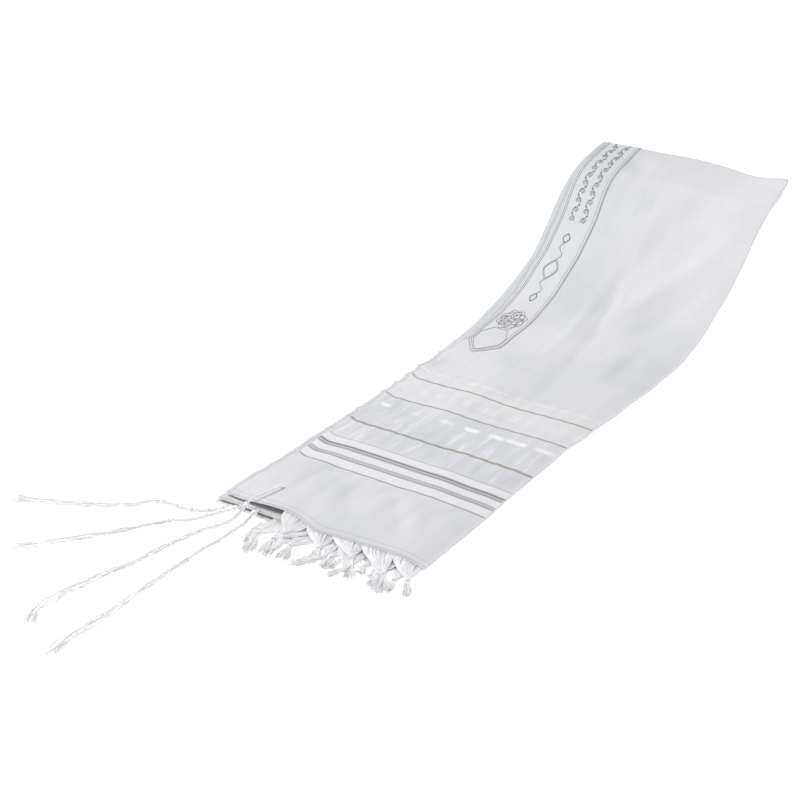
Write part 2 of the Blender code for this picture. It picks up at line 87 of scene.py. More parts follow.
# Soft forms of the top leaf. Columns: distance from the near end, place across, half length
# along, half width across, turn (deg), height (all m but the turn). The first seven are the
# large ones, which the solid has too.
SWELLS = [
    (0.000, -0.075, 0.040, 0.030, 0, 0.0030),
    (0.020, 0.045, 0.060, 0.035, -20, 0.0014),
    (0.110, -0.100, 0.090, 0.018, 12, 0.0018),
    (0.200, 0.060, 0.110, 0.022, -14, 0.0013),
    (0.430, -0.020, 0.120, 0.030, 10, 0.0030),
    (0.600, 0.050, 0.120, 0.026, -8, 0.0040),
    (0.790, 0.010, 0.080, 0.030, 24, 0.0045),
    (0.000, 0.025, 0.026, 0.045, 0, -0.0022),
    (0.590, -0.018, 0.050, 0.010, -4, 0.0026),
    (0.602, 0.008, 0.060, 0.010, -9, -0.0034),
    (0.660, 0.058, 0.120, 0.016, 33, 0.0040),
    (0.640, 0.098, 0.090, 0.015, 30, -0.0026),
    (0.720, 0.020, 0.060, 0.016, 18, -0.0018),
    (0.834, 0.040, 0.010, 0.110, 0, 0.0022),
    (0.857, -0.066, 0.016, 0.024, 30, -0.0034),
    (0.895, -0.150, 0.045, 0.045, 0, -0.0030),
    (0.520, 0.080, 0.070, 0.012, 8, 0.0016),
    (0.480, 0.030, 0.050, 0.011, -10, -0.0016),
    (0.455, -0.040, 0.040, 0.009, 6, 0.0012),
    (0.090, 0.050, 0.050, 0.012, -38, -0.0022),
    (0.075, 0.085, 0.050, 0.014, -38, 0.0014),
    (0.060, 0.000, 0.050, 0.012, -34, -0.0014),
    (0.300, -0.070, 0.040, 0.030, 0, -0.0020),
    (0.000, -0.128, 0.030, 0.024, 0, -0.0026),
]
HEM_WIDTH = 0.014
HEM_HEIGHT = 0.0006
SEAM_WIDTH = 0.0010
SEAM_DEPTH = 0.0008
FOLD_DROOP = 0.0024


def smooth(value, low, high):
    """Rise from 0 at low to 1 at high: t * t * (3 - 2 t) of the share t between them."""
    t = np.clip((value - low) / (high - low), 0.0, 1.0)
    return t * t * (3.0 - 2.0 * t)


def bell(value, centre, width):
    """Rounded bump that is 1 at its centre: exp of minus the squared distance in widths."""
    return np.exp(-((value - centre) / width) ** 2)


def section_value(distance, column):
    """The section table at any distance: half straight and half smooth between two rows."""
    row = np.clip(np.searchsorted(SECTIONS[:, 0], distance) - 1, 0, len(SECTIONS) - 2)
    low, high = SECTIONS[row], SECTIONS[row + 1]
    t = np.clip((distance - low[..., 0]) / (high[..., 0] - low[..., 0]), 0.0, 1.0)
    eased = 0.5 * t + 0.5 * t * t * (3.0 - 2.0 * t)
    return low[..., column] + (high - low)[..., column] * eased


LINE_STEP = 0.001
line_slopes = np.radians(section_value((np.arange(900) + 0.5) * LINE_STEP, SLOPE))
line_y = np.cumsum(np.append(0.0, np.cos(line_slopes))) * LINE_STEP - ORIGIN_FROM_NEAR_END
line_z = np.cumsum(np.append(0.0, np.sin(line_slopes))) * LINE_STEP + STACK
line_at = np.arange(901) * LINE_STEP


def vectors(x, y, z):
    """Three arrays as one array of points or directions."""
    return np.stack(np.broadcast_arrays(x, y, z), axis=-1)


def near_share(distance):
    """1 at the near end, fading smoothly to 0 over the near end's reach."""
    return 1.0 - smooth(distance, 0.0, NEAR_END_REACH)


def upper_frame(run):
    """Centre, across and outward directions of the upper half's outer face.

    The centre follows the line that sums up the slopes. The across direction is level, then
    banked. Past the folded length the last frame turns about the inside of the far fold.
    """
    flat = np.minimum(run, FOLDED_LENGTH)
    slope = np.radians(section_value(flat, SLOPE))
    bank = np.radians(section_value(flat, BANK))
    zero = np.zeros_like(slope)
    forward = vectors(zero, np.cos(slope), np.sin(slope))
    square = vectors(zero, -np.sin(slope), np.cos(slope))
    level = vectors(zero + 1.0, zero, zero)
    across = level * np.cos(bank)[..., None] + square * np.sin(bank)[..., None]
    outward = np.cross(across, forward)
    centre = vectors(section_value(flat, DRIFT), np.interp(flat, line_at, line_y),
                     np.interp(flat, line_at, line_z))
    turn = (np.clip((run - FOLDED_LENGTH) / TURN_LENGTH, 0.0, 1.0) * math.pi)[..., None]
    reach = HALF_THICKNESS + HALVES_GAP / 2
    turned = outward * np.cos(turn) + forward * np.sin(turn)
    return centre - outward * reach + turned * reach, across, turned


# Warp-way ripples: height and length of one wave (m)
BROAD_RIPPLE = (0.00036, 0.0240)
FINE_RIPPLE = (0.00012, 0.0105)
NEAR_RIPPLE = (0.00045, 0.0310)


def ripple(size, x, shift):
    """Sine across the cloth with a ripple's height and length, moved by a shift."""
    height, length = size
    return height * np.sin(x * 2 * math.pi / length + shift)


def ripples(distance, x):
    """Ripples of the striped and the plain near stretch: sines across that wander along."""
    window = smooth(distance, 0.19, 0.23) * (1.0 - smooth(distance, 0.40, 0.45))
    fine_window = window * (1.0 - smooth(x, -0.075, -0.050))
    wander = 0.9 * np.sin(distance * 31.0) + 0.5 * np.sin(distance * 67.0 + 1.3)
    broad = ripple(BROAD_RIPPLE, x, wander)
    fine = ripple(FINE_RIPPLE, x, 1.7 * wander)
    near = ripple(NEAR_RIPPLE, x, 2.0 * wander + distance * 9.0)
    near_window = smooth(distance, 0.03, 0.07) * (1.0 - smooth(distance, 0.12, 0.14))
    return window * broad + fine_window * fine + near_window * near


# How far the woven left edge draws in, at distances from the near end (m)
EDGE_AT = [0.0, 0.06, 0.11, 0.44, 0.52, 0.60, 0.70, 0.80, 0.90]
EDGE_DRAWN = [0.002, 0.002, 0.005, 0.005, 0.007, 0.004, 0.003, 0.002, 0.000]

# Small tugs of the edge outwards. Columns: distance from the near end, reach (m)
TUGS = [(0.212, 0.003), (0.285, 0.008), (0.342, 0.006), (0.367, 0.007), (0.392, 0.004),
        (0.417, 0.007), (0.452, 0.004)]
TUG_WIDTH = 0.0030


def left_inset(distance):
    """How far the woven edge draws in from a straight line, with small tugs outwards."""
    drawn = np.interp(distance, EDGE_AT, EDGE_DRAWN)
    for place, reach in TUGS:
        drawn = drawn - reach * bell(distance, place, TUG_WIDTH)
    return drawn + 0.0006 * np.sin(distance * 190.0) + 0.0005 * np.sin(distance * 83.0 + 2.0)


def relief(distance, x):
    """Height of the top leaf over its plain face: swells, ripples, woven edge and hem."""
    total = np.zeros(np.broadcast(distance, x).shape)
    for along, place, length, width, turn, height in SWELLS:
        angle = math.radians(turn)
        a, b = distance - along, x - place
        p = (a * math.cos(angle) + b * math.sin(angle)) / length
        q = (b * math.cos(angle) - a * math.sin(angle)) / width
        total = total + height * np.exp(-p * p - q * q)
    total = total + ripples(distance, x)
    total = total * (1.0 - smooth(x, 0.105, 0.140))
    droop = FOLD_DROOP * (1.0 - 0.8 * smooth(distance, 0.55, 0.75))
    total = total - droop * smooth(x, 0.112, 0.150) ** 2
    edge = x + FOLDED_WIDTH / 2 - left_inset(distance)
    total = total + 0.0006 * bell(edge, 0.0012, 0.0022) - 0.0008 * bell(edge, 0.0062, 0.0016)
    hem = HEM_HEIGHT * (1.0 - smooth(distance, HEM_WIDTH - 0.0004, HEM_WIDTH + 0.0008))
    seams = bell(distance, 0.0022, SEAM_WIDTH) + bell(distance, HEM_WIDTH - 0.0012, SEAM_WIDTH)
    pucker = 0.00012 * np.sin(x * 2 * math.pi / 0.0065) * bell(distance, 0.008, 0.009)
    return total + hem - SEAM_DEPTH * seams + pucker


# Where the near edge strays towards the viewer. Columns: place across, half width, reach (m)
SWAYS = [(-0.149, 0.030, -0.0020), (-0.048, 0.024, -0.0036), (0.004, 0.024, 0.0092),
         (0.056, 0.034, 0.0056), (0.148, 0.026, 0.0042)]


def near_sway(x):
    """How far the near edge strays towards the viewer: the sum of its bells across."""
    return sum(reach * bell(x, place, width) for place, width, reach in SWAYS)


LEAF_COLUMNS = 168
FOLD_COLUMNS = 10
INNER_COLUMNS = 34
fold_radius = (HALF_THICKNESS - CLOTH_WALL) / 2
right_end = FOLDED_WIDTH / 2 - HALF_THICKNESS / 2
fold_turn = np.linspace(0.0, math.pi, FOLD_COLUMNS + 2)[1:-1]
outer_share = np.linspace(0.0, 1.0, LEAF_COLUMNS)
inner_share = np.linspace(0.0, 1.0, INNER_COLUMNS)
is_outer = np.concatenate([np.ones(LEAF_COLUMNS), 0.5 + 0.5 * np.cos(fold_turn),
                           np.zeros(INNER_COLUMNS)])


def doubled(distance, outer_leaf, inner_leaf, inset):
    """Places across and depths of a sheet that runs out, round the long fold and back.

    Out along the outer face, half a turn of the fold's radius, and back along the inner.
    """
    left_out = inset - FOLDED_WIDTH / 2 - LEAF_LEFT[outer_leaf]
    left_in = inset * 0.4 - FOLDED_WIDTH / 2 - LEAF_LEFT[inner_leaf]
    out = left_out[:, None] + (right_end - left_out)[:, None] * outer_share
    back = right_end + (left_in - right_end)[:, None] * inner_share
    bend = np.broadcast_to(right_end + fold_radius * np.sin(fold_turn),
                           (len(distance), FOLD_COLUMNS))
    x = np.concatenate([out, bend, back], axis=1)
    middle = CLOTH_WALL / 2
    depth = np.concatenate([np.full(LEAF_COLUMNS, middle),
                            middle + fold_radius * (1.0 - np.cos(fold_turn)),
                            np.full(INNER_COLUMNS, HALF_THICKNESS - middle)])
    across_panel = np.concatenate([
        outer_share * FOLDED_WIDTH, FOLDED_WIDTH + FOLD_ARC * fold_turn / math.pi,
        FOLDED_WIDTH + FOLD_ARC + inner_share * (FOLDED_WIDTH - FOLD_ARC)])
    return x, depth, across_panel


def corner_draw(run, x):
    """How far the long fold draws in where it meets the far fold, a soft rounded corner."""
    late = smooth(run, 0.882, 0.912) ** 1.5
    return CORNER_DRAW * late[:, None] * smooth(x, 0.100, 0.150)


# Where the far fold rides up and sags. Columns: place across, half width, rise (m)
FAR_RISES = [(0.005, 0.045, 0.0026), (0.092, 0.028, -0.0028), (0.150, 0.026, 0.0044)]


def far_rise(run, x):
    """How far the far fold rides up: the sum of its bells across, growing towards the fold."""
    wave = sum(rise * bell(x, place, width) for place, width, rise in FAR_RISES)
    return smooth(run, 0.80, FOLDED_LENGTH)[:, None] * wave


def near_setback(distance, outer_leaf, inner_leaf):
    """How far each point of the doubled sheet stands out past the top leaf's near edge."""
    past = LEAF_NEAR[inner_leaf] + (LEAF_NEAR[outer_leaf] - LEAF_NEAR[inner_leaf]) * is_outer
    return near_share(distance)[:, None] * past


def add_object(name, data):
    """Object with this mesh, lamp or lens, put into the scene."""
    made = bpy.data.objects.new(name, data)
    bpy.context.scene.collection.objects.link(made)
    return made


def mesh_object(name, corners, faces):
    """Object with a smooth mesh of these corners and faces."""
    mesh = bpy.data.meshes.new(name)
    mesh.from_pydata(corners, [], faces)
    mesh.shade_smooth()
    return add_object(name, mesh)


def grid_object(name, points, places):
    """Object from a grid of points in rows and columns, with its UVs in metres."""
    rows, columns = points.shape[:2]
    index = np.arange(rows * columns).reshape(rows, columns)
    quads = np.stack([index[:-1, :-1], index[:-1, 1:], index[1:, 1:], index[1:, :-1]], axis=-1)
    quads = quads.reshape(-1, 4)
    made = mesh_object(name, points.reshape(-1, 3).tolist(), quads.tolist())
    layer = made.data.uv_layers.new(name="cloth")
    layer.data.foreach_set("uv", places.reshape(-1, 2)[quads.ravel()].ravel())
    return made


def give_wall(made, thickness):
    """Give a sheet its wall, half of it to each side."""
    wall = made.modifiers.new("wall", "SOLIDIFY")
    wall.thickness = thickness
    wall.offset = 0.0


class Socket:
    """A value in a material. Its operators add Math nodes, and node() adds any other."""

    def __init__(self, tree, output=None):
        self.tree = tree
        self.output = output

    def node(self, kind, inputs=(), out=0, **settings):
        """Add a node of a kind: first its settings, then a value or link for each input."""
        made = self.tree.nodes.new(kind)
        for key, value in settings.items():
            setattr(made, key, value)
        for key, value in dict(inputs).items():
            if isinstance(value, Socket):
                self.tree.links.new(value.output, made.inputs[key])
            else:
                made.inputs[key].default_value = value
        return Socket(self.tree, made.outputs[out])

    def math(self, operation, *values):
        """Add a Math node that works on these values."""
        return self.node("ShaderNodeMath", enumerate(values), operation=operation)

    def part(self, axis):
        """One of the three values of this place: 0, 1 or 2."""
        return self.node("ShaderNodeSeparateXYZ", {0: self}, out=axis)

    def stretched(self, *by):
        """This place with each of its values multiplied."""
        return self.node("ShaderNodeVectorMath", {0: self, 1: by}, operation="MULTIPLY")

    def noise(self, scale, detail):
        """Cloudy value from 0 to 1 at this place."""
        return self.node("ShaderNodeTexNoise", {"Vector": self, "Scale": scale,
                                                "Detail": detail})

    def bump(self, distance, strength):
        """Surface direction that this height gives."""
        return self.node("ShaderNodeBump", {"Height": self, "Distance": distance,
                                            "Strength": strength})

    def mix(self, first, second):
        """Blend from the first colour to the second by this value."""
        return self.node("ShaderNodeMix", {0: self, 6: first, 7: second}, out=2,
                         data_type="RGBA")

    def rise(self, low, high):
        """Smooth step of this value from 0 at low to 1 at high."""
        return self.node("ShaderNodeMapRange", {"Value": self, "From Min": low,
                                                "From Max": high},
                         interpolation_type="SMOOTHSTEP")

    def band(self, low, high, soft):
        """1 between low and high, with soft edges."""
        return self.rise(low - soft, low + soft) - self.rise(high - soft, high + soft)

    def wave(self, length):
        """Sine of this value with a wavelength, from 0 to 1."""
        return self.math("SINE", self * (2 * math.pi / length)) * 0.5 + 0.5

    def __add__(self, other):
        return self.math("ADD", self, other)

    __radd__ = __add__

    def __sub__(self, other):
        return self.math("SUBTRACT", self, other)

    def __rsub__(self, other):
        return self.math("SUBTRACT", other, self)

    def __mul__(self, other):
        return self.math("MULTIPLY", self, other)

    __rmul__ = __mul__


def new_material(name, constants):
    """A material with its shader's constants set, as (material, start of its maths)."""
    material = bpy.data.materials.new(name)
    material.use_nodes = True
    shader = material.node_tree.nodes["Principled BSDF"]
    for key, value in constants.items():
        shader.inputs[key].default_value = value
    return material, Socket(material.node_tree)


def feed(material, values):
    """Link each value to the input of the material's shader that it is named for."""
    shader = material.node_tree.nodes["Principled BSDF"]
    for key, value in values.items():
        material.node_tree.links.new(value.output, shader.inputs[key])


WOOL = (0.704, 0.696, 0.730, 1.0)
# Painted shade of the wool.
WOOL_SHADED = (0.622, 0.640, 0.662, 1.0)
# Painted shade of the inner leaves.
WOOL_INNER_SHADE = (0.690, 0.684, 0.684, 1.0)
# Painted highlight of the long fold's round.
WOOL_FOLD_HIGHLIGHT = (0.780, 0.775, 0.800, 1.0)
# Painted deep shade of the wool.
WOOL_DEEP_SHADE = (0.590, 0.610, 0.632, 1.0)
# Painted highlight of the wool.
WOOL_HIGHLIGHT = (0.790, 0.785, 0.810, 1.0)
SATIN = (0.780, 0.775, 0.802, 1.0)
CREAM = (0.712, 0.704, 0.716, 1.0)
SILVER = (0.235, 0.231, 0.250, 1.0)
GOLD = (0.300, 0.276, 0.196, 1.0)
# Painted shade of the woven edge and the hem's seams.
EDGE_SEAM_SHADE = (0.500, 0.503, 0.515, 1.0)
DASH_WHITE = (0.850, 0.847, 0.862, 1.0)
WARP_PITCH = 0.0011
STRIPE_SOFT = 0.0004

# Woven bands. Columns: from and to (m from the near end), yarn, how strongly it shows
BANDS = [
    (0.1306, 0.1322, "silver", 1.00),
    (0.1340, 0.1490, "satin", 1.00),
    (0.1512, 0.1534, "silver", 0.80),
    (0.1534, 0.1576, "hatched", 0.50),
    (0.1576, 0.1592, "silver", 0.70),
    (0.1612, 0.1730, "satin", 1.00),
    (0.1748, 0.1774, "silver", 0.75),
    (0.1774, 0.1814, "hatched", 0.65),
    (0.1814, 0.1850, "silver", 0.90),
    (0.1872, 0.2000, "satin", 1.00),
    (0.2014, 0.2030, "silver", 0.40),
    (0.2498, 0.2546, "gold", 1.00),
    (0.3096, 0.3176, "dashes", 1.15),
    (0.3358, 0.3380, "silver", 0.60),
    (0.3358, 0.3380, "gold", 0.50),
    (0.3400, 0.3520, "cream", 1.00),
    (0.3464, 0.3474, "silver", 0.14),
    (0.3560, 0.3720, "glints", 0.80),
    (0.3725, 0.4020, "cream", 0.90),
    (0.3874, 0.3896, "silver", 0.60),
    (0.3874, 0.3896, "gold", 0.50),
    (0.4050, 0.4108, "glints", 1.00),
]

# Dashes of the dashed row. Columns: from and to (m from the left edge), how strongly it shows
DASHES = [(0.018, 0.034, 0.9), (0.070, 0.084, 0.3), (0.120, 0.140, 0.5), (0.160, 0.182, 1.0),
          (0.197, 0.220, 1.0), (0.226, 0.256, 1.0), (0.270, 0.297, 0.7)]


def cloth_material():
    """White wool whose bands follow the cloth's own UVs: across first, then along."""
    material, start = new_material("white_wool_cloth", {
        "Sheen Weight": 0.12, "Sheen Roughness": 0.5, "Specular IOR Level": 0.25})
    place = start.node("ShaderNodeUVMap", uv_map="cloth")
    across, along = place.part(0), place.part(1)
    swing = place.noise(8.0, 0.0)
    patch = place.noise(9.0, 2.0)
    streaks = place.stretched(85.0, 8.0, 1.0).noise(1.0, 3.0)
    threads = place.stretched(130.0, 16.0, 1.0).noise(1.0, 2.0)
    from_left = across.math("MINIMUM", across, PANEL_WIDTH - across)
    tug = (1.0 - from_left.rise(0.004, 0.028)) * 0.0065
    at = along - tug + (swing - 0.5) * 0.0075
    on_side = across.band(0.3012, 0.3065, 0.0012)
    stripped = from_left.rise(0.0068, 0.0084) * (1.0 - on_side)
    hatch = (across + along * 0.6).wave(0.0021)
    twist = (across - along * 0.8).wave(0.0040)
    glints = streaks.rise(0.38, 0.66)
    dashes = sum(from_left.band(low, high, 0.0045) * shows for low, high, shows in DASHES)
    masks = dict.fromkeys(("satin", "silver", "gold", "cream", "dashes"), 0.0)
    for low, high, yarn, strength in BANDS:
        mask = at.band(low, high, STRIPE_SOFT) * strength
        if yarn == "hatched":
            masks["silver"] = masks["silver"] + mask * (hatch * 0.9 + 0.1)
        elif yarn == "dashes":
            masks["dashes"] = at.band(low, high, 0.0024) * dashes * strength
        elif yarn == "glints":
            mask = at.band(low, high, 0.0016) * strength
            masks["satin"] = masks["satin"] + mask * (glints * 0.7 + 0.3 * streaks)
        elif yarn == "cream":
            masks["cream"] = masks["cream"] + at.band(low, high, 0.0040) * strength
        elif yarn == "gold":
            masks["gold"] = masks["gold"] + mask * (twist * 0.45 + 0.55)
        else:
            masks[yarn] = masks[yarn] + mask
    masks = {yarn: mask * stripped for yarn, mask in masks.items()}
    # Painted shade: cloudy patches and warp-way streaks, the striped stretch, the side towards the
    # long fold and the far end's left side are mixed towards the shaded wool; on the far end the
    # side next to the fold gets less of it.
    fold_side = from_left.rise(0.240, 0.302)
    far = along.rise(0.50, 0.75)
    striped = along.band(0.205, 0.330, 0.012)
    tone = patch.rise(0.44, 0.66) * 0.85 + streaks.rise(0.30, 0.75) * 0.45 + striped * 0.35
    far_tone = (1.0 - across.rise(0.05, 0.22)) * 0.4 - fold_side * 0.5
    tone = tone + fold_side * 0.15 + far * far_tone
    colour = tone.mix(WOOL, WOOL_SHADED)
    # Painted highlight on the far end next to the long fold.
    colour = (far * across.band(0.200, 0.300, 0.050) * 0.6).mix(colour, WOOL_HIGHLIGHT)
    # Painted shade and painted highlight of warp-way wrinkles: dark and light streaks over the
    # striped stretch.
    colour = (threads.rise(0.52, 0.70) * striped * 0.65).mix(colour, WOOL_DEEP_SHADE)
    colour = (threads.rise(0.46, 0.30) * striped * 0.80).mix(colour, WOOL_HIGHLIGHT)
    # Painted shade on the inner leaves, past the long fold.
    colour = across.rise(0.305, 0.309).mix(colour, WOOL_INNER_SHADE)
    # Painted highlight on the round of the long fold.
    colour = across.band(0.3000, 0.3062, 0.0012).mix(colour, WOOL_FOLD_HIGHLIGHT)
    # Painted shade on the margin between the woven left edge and the neckband.
    beside_band = along.rise(0.46, 0.54)
    margin = (1.0 - from_left.rise(0.012, 0.022)) * beside_band
    colour = (margin * 0.9).mix(colour, WOOL_DEEP_SHADE)
    # Painted shade: thin dark lines along the woven left edge, stronger beside the neckband, and
    # along the hem's two seams.
    rim = from_left.band(0.0054, 0.0060, 0.0003)
    rim = rim + (1.0 - from_left.rise(0.0, 0.0006)) * (0.2 + beside_band * 0.5)
    seam = along.band(0.0122, 0.0131, 0.0003) + along.band(0.0034, 0.0043, 0.0003) * 0.9
    colour = (rim * 0.8 + seam).mix(colour, EDGE_SEAM_SHADE)
    colour = masks["cream"].mix(colour, CREAM)
    colour = masks["satin"].mix(colour, SATIN)
    colour = masks["dashes"].mix(colour, DASH_WHITE)
    colour = masks["silver"].mix(colour, SILVER)
    colour = masks["gold"].mix(colour, GOLD)
    metal = masks["silver"] * 0.25 + masks["gold"] * 0.25
    rough = 0.82 - masks["satin"] * 0.38 - masks["silver"] * 0.30 - masks["gold"] * 0.28
    weft = along.wave(WARP_PITCH)
    warp = across.wave(WARP_PITCH)
    weave = weft * warp + (1.0 - weft) * (1.0 - warp)
    lines = masks["silver"] * 0.5 + masks["gold"] * (twist * 1.2)
    height = weave * (1.0 - masks["satin"] * 0.7) + lines + masks["satin"] * weft * 0.4
    feed(material, {"Base Color": colour, "Roughness": rough, "Metallic": metal,
                    "Normal": height.bump(0.00016, 0.35)})
    return material


wool_cloth = cloth_material()


def leaf_points(distance, frames, outer_leaf, inner_leaf, inset, height):
    """Grid of a doubled half: each frame's centre, plus across and depth, plus its relief."""
    centre, across, outward = frames
    x, depth, panel = doubled(distance, outer_leaf, inner_leaf, inset)
    lift = height(distance[:, None], x) - depth
    points = centre[:, None] + across[:, None] * x[..., None]
    points = points + outward[:, None] * lift[..., None]
    points[..., 1] -= near_setback(distance, outer_leaf, inner_leaf)
    return points, x, panel


hem_rows = np.linspace(0.0, 0.018, 19)
flat_rows = np.linspace(0.0215, FOLDED_LENGTH, 186)
turn_rows = FOLDED_LENGTH + np.linspace(0.0, TURN_LENGTH, 15)[1:]
upper_run = np.concatenate([hem_rows, flat_rows, turn_rows])
upper_distance = np.minimum(upper_run, FOLDED_LENGTH)


def upper_height(distance, x):
    """Relief on the top leaf, fading through the fold to a quieter second leaf."""
    quiet = 0.0004 * np.sin(distance * 40.0 + x * 50.0)
    droop = -0.0005 * (1.0 - smooth(distance, 0.0, 0.03))
    past = smooth(upper_run, FOLDED_LENGTH, FOLDED_LENGTH + TURN_LENGTH)[:, None]
    return relief(distance, x) * is_outer * (1.0 - past) + (quiet + droop) * (1.0 - is_outer)


points, x_upper, panel = leaf_points(upper_distance, upper_frame(upper_run), "leaf_1", "leaf_2",
                                     left_inset(upper_distance), upper_height)
points[..., 1] -= near_share(upper_distance)[:, None] * near_sway(x_upper) * is_outer
points[..., 0] -= corner_draw(upper_run, x_upper)
points[..., 2] += far_rise(upper_run, x_upper)
places = np.stack(np.broadcast_arrays(panel[None, :], upper_run[:, None]), axis=-1)
upper_half = grid_object("cloth_upper", points, places)
give_wall(upper_half, CLOTH_WALL)
upper_half.data.materials.append(wool_cloth)
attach(upper_half, "root")
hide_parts("cloth_upper_half")


# Lower half of the shawl. It is the rest of the same woven panel, turned under at the far
# fold, so its stripes lie under the upper ones. Its own two leaves lie flat on the table and
# sag away from the upper half before they rise to meet it.

LOWER_LIFTS_AT = 0.46
LOWER_MEETS_AT = 0.67
LOWER_EASE = 0.8
LOWER_LAG = 1.2
LOWER_DRAW = 0.008
SEAM_GAP = 0.0003


def lower_height(distance):
    """Line of the lower half's inner face: flat, then rising smoothly to the upper half."""
    slope = np.radians(section_value(distance, SLOPE))
    thick = HALF_THICKNESS + HALVES_GAP
    y = np.interp(distance, line_at, line_y) + thick * np.sin(slope)
    z = np.interp(distance, line_at, line_z) - thick * np.cos(slope)
    lifted = np.clip((distance - LOWER_LIFTS_AT) / (LOWER_MEETS_AT - LOWER_LIFTS_AT), 0.0, 1.0)
    rise = smooth(lifted ** LOWER_EASE, 0.0, 1.0)
    flat = HALF_THICKNESS
    return y, flat + (z - flat) * rise, (z - flat) * (1.0 - rise), rise


def lower_frame(distance):
    """Centre, across and outward directions of the lower half's underside."""
    y, z, sag, rise = lower_height(distance)
    y0, z0 = lower_height(np.maximum(distance - 0.002, 0.0))[:2]
    y1, z1 = lower_height(np.minimum(distance + 0.002, FOLDED_LENGTH))[:2]
    length = np.hypot(y1 - y0, z1 - z0)
    zero = np.zeros_like(y)
    forward = vectors(zero, (y1 - y0) / length, (z1 - z0) / length)
    square = vectors(zero, -forward[..., 2], forward[..., 1])
    bank = (np.radians(section_value(distance, BANK)) * rise)[..., None]
    level = vectors(zero + 1.0, zero, zero)
    across = level * np.cos(bank) + square * np.sin(bank)
    inward = np.cross(across, forward)
    drift = section_value(distance, DRIFT) - LOWER_LAG * sag
    return vectors(drift, y, z) - inward * HALF_THICKNESS, across, -inward


def lower_relief(distance, x):
    """Quiet relief of the hidden leaves. The underside stays flat where it rests."""
    lifted = smooth(distance, 0.50, 0.62)
    under = 0.0010 * lifted * np.sin(distance * 23.0 + x * 18.0) * smooth(x, -0.150, -0.110)
    left = 0.0007 * np.sin(distance * 57.0 + 1.0) * (1.0 - smooth(x, -0.150, -0.120))
    return -under * is_outer + left * (1.0 - is_outer)


lower_run = np.concatenate([np.linspace(0.0, 0.018, 10),
                            np.linspace(0.022, FOLDED_LENGTH - SEAM_GAP, 150)])
points, x_lower, panel = leaf_points(lower_run, lower_frame(lower_run), "leaf_4", "leaf_3",
                                     left_inset(lower_run + 0.1) * 0.5, lower_relief)
points[..., 0] -= corner_draw(lower_run + TURN_LENGTH, x_lower)
points[..., 2] += far_rise(lower_run, x_lower)
apart = 1.0 - smooth(lower_run, 0.78, 0.89)
points[..., 0] -= LOWER_DRAW * apart[:, None] * smooth(x_lower, 0.060, 0.150)
places = np.stack(np.broadcast_arrays(panel[None, :], lower_run[:, None]), axis=-1)
lower_half = grid_object("cloth_lower", points[:, ::-1], places[:, ::-1])
give_wall(lower_half, CLOTH_WALL)
lower_half.data.materials.append(wool_cloth)
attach(lower_half, "root")
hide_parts("cloth_lower_half")


# Hem stitching. Each cut end of the panel is turned once and sewn down with two rows of
# white thread, one near the edge and one where the turning ends.

THREAD = 0.00032
STITCH = 0.0026
STITCH_GAP = 0.0009
STITCH_ARCH = 0.0004
STITCH_ROWS = (0.0024, HEM_WIDTH - 0.0012)


def on_top(distance, x, height):
    """Point of the top leaf's outer face, raised by a height along its outward direction."""
    centre, across, outward = upper_frame(distance)
    lift = relief(np.minimum(distance, FOLDED_LENGTH), x) + height
    point = centre + across * x[..., None] + outward * lift[..., None]
    point[..., 1] -= near_share(distance) * near_sway(x)
    return point


def tube_object(name, lines, radii, sides, reference=(0.0, 0.0, 1.0)):
    """Object of many closed tubes. Lines are (tubes, points, 3), radii one for all or more.

    A ring of corners stands square to each line, turned from the reference direction.
    """
    radii = np.broadcast_to(radii, lines.shape[:2])
    ahead = np.gradient(lines, axis=1)
    ahead /= np.maximum(np.linalg.norm(ahead, axis=-1, keepdims=True), 1e-12)
    side = np.cross(ahead, np.broadcast_to(reference, lines.shape))
    side /= np.maximum(np.linalg.norm(side, axis=-1, keepdims=True), 1e-12)
    top = np.cross(side, ahead)
    angle = np.arange(sides) * 2 * math.pi / sides
    ring = side[:, :, None] * np.cos(angle)[:, None] + top[:, :, None] * np.sin(angle)[:, None]
    points = lines[:, :, None] + ring * radii[:, :, None, None]
    tubes, steps = lines.shape[:2]
    index = np.arange(tubes * steps * sides).reshape(tubes, steps, sides)
    after = np.roll(index, -1, axis=2)
    quads = np.stack([index[:, :-1], index[:, 1:], after[:, 1:], after[:, :-1]], axis=-1)
    caps = np.concatenate([index[:, 0], index[:, -1, ::-1]])
    return mesh_object(name, points.reshape(-1, 3).tolist(),
                       quads.reshape(-1, 4).tolist() + caps.tolist())


def yarn_material(name, colour, shaded, rough, metal, grain, strength, painted_glow=0.0):
    """Spun yarn: a colour that varies softly, with a fine fuzzy bump.

    The emission is painted light: a faint white light that lightens the yarn where it lies in
    shade.
    """
    # Painted light: a faint white emission of the given strength.
    material, start = new_material(name, {
        "Metallic": metal, "Specular IOR Level": 0.3, "Sheen Weight": 0.15,
        "Emission Strength": painted_glow, "Emission Color": (1.0, 1.0, 1.0, 1.0)})
    place = start.node("ShaderNodeTexCoord", out="Object")
    fuzz = place.noise(grain, 3.0)
    soft = place.noise(70.0, 1.0)
    shade = soft.rise(0.35, 0.70) * 0.6 + fuzz.rise(0.40, 0.75) * 0.4
    feed(material, {"Base Color": shade.mix(colour, shaded), "Roughness": rough + fuzz * 0.12,
                    "Normal": fuzz.bump(0.0003, strength)})
    return material


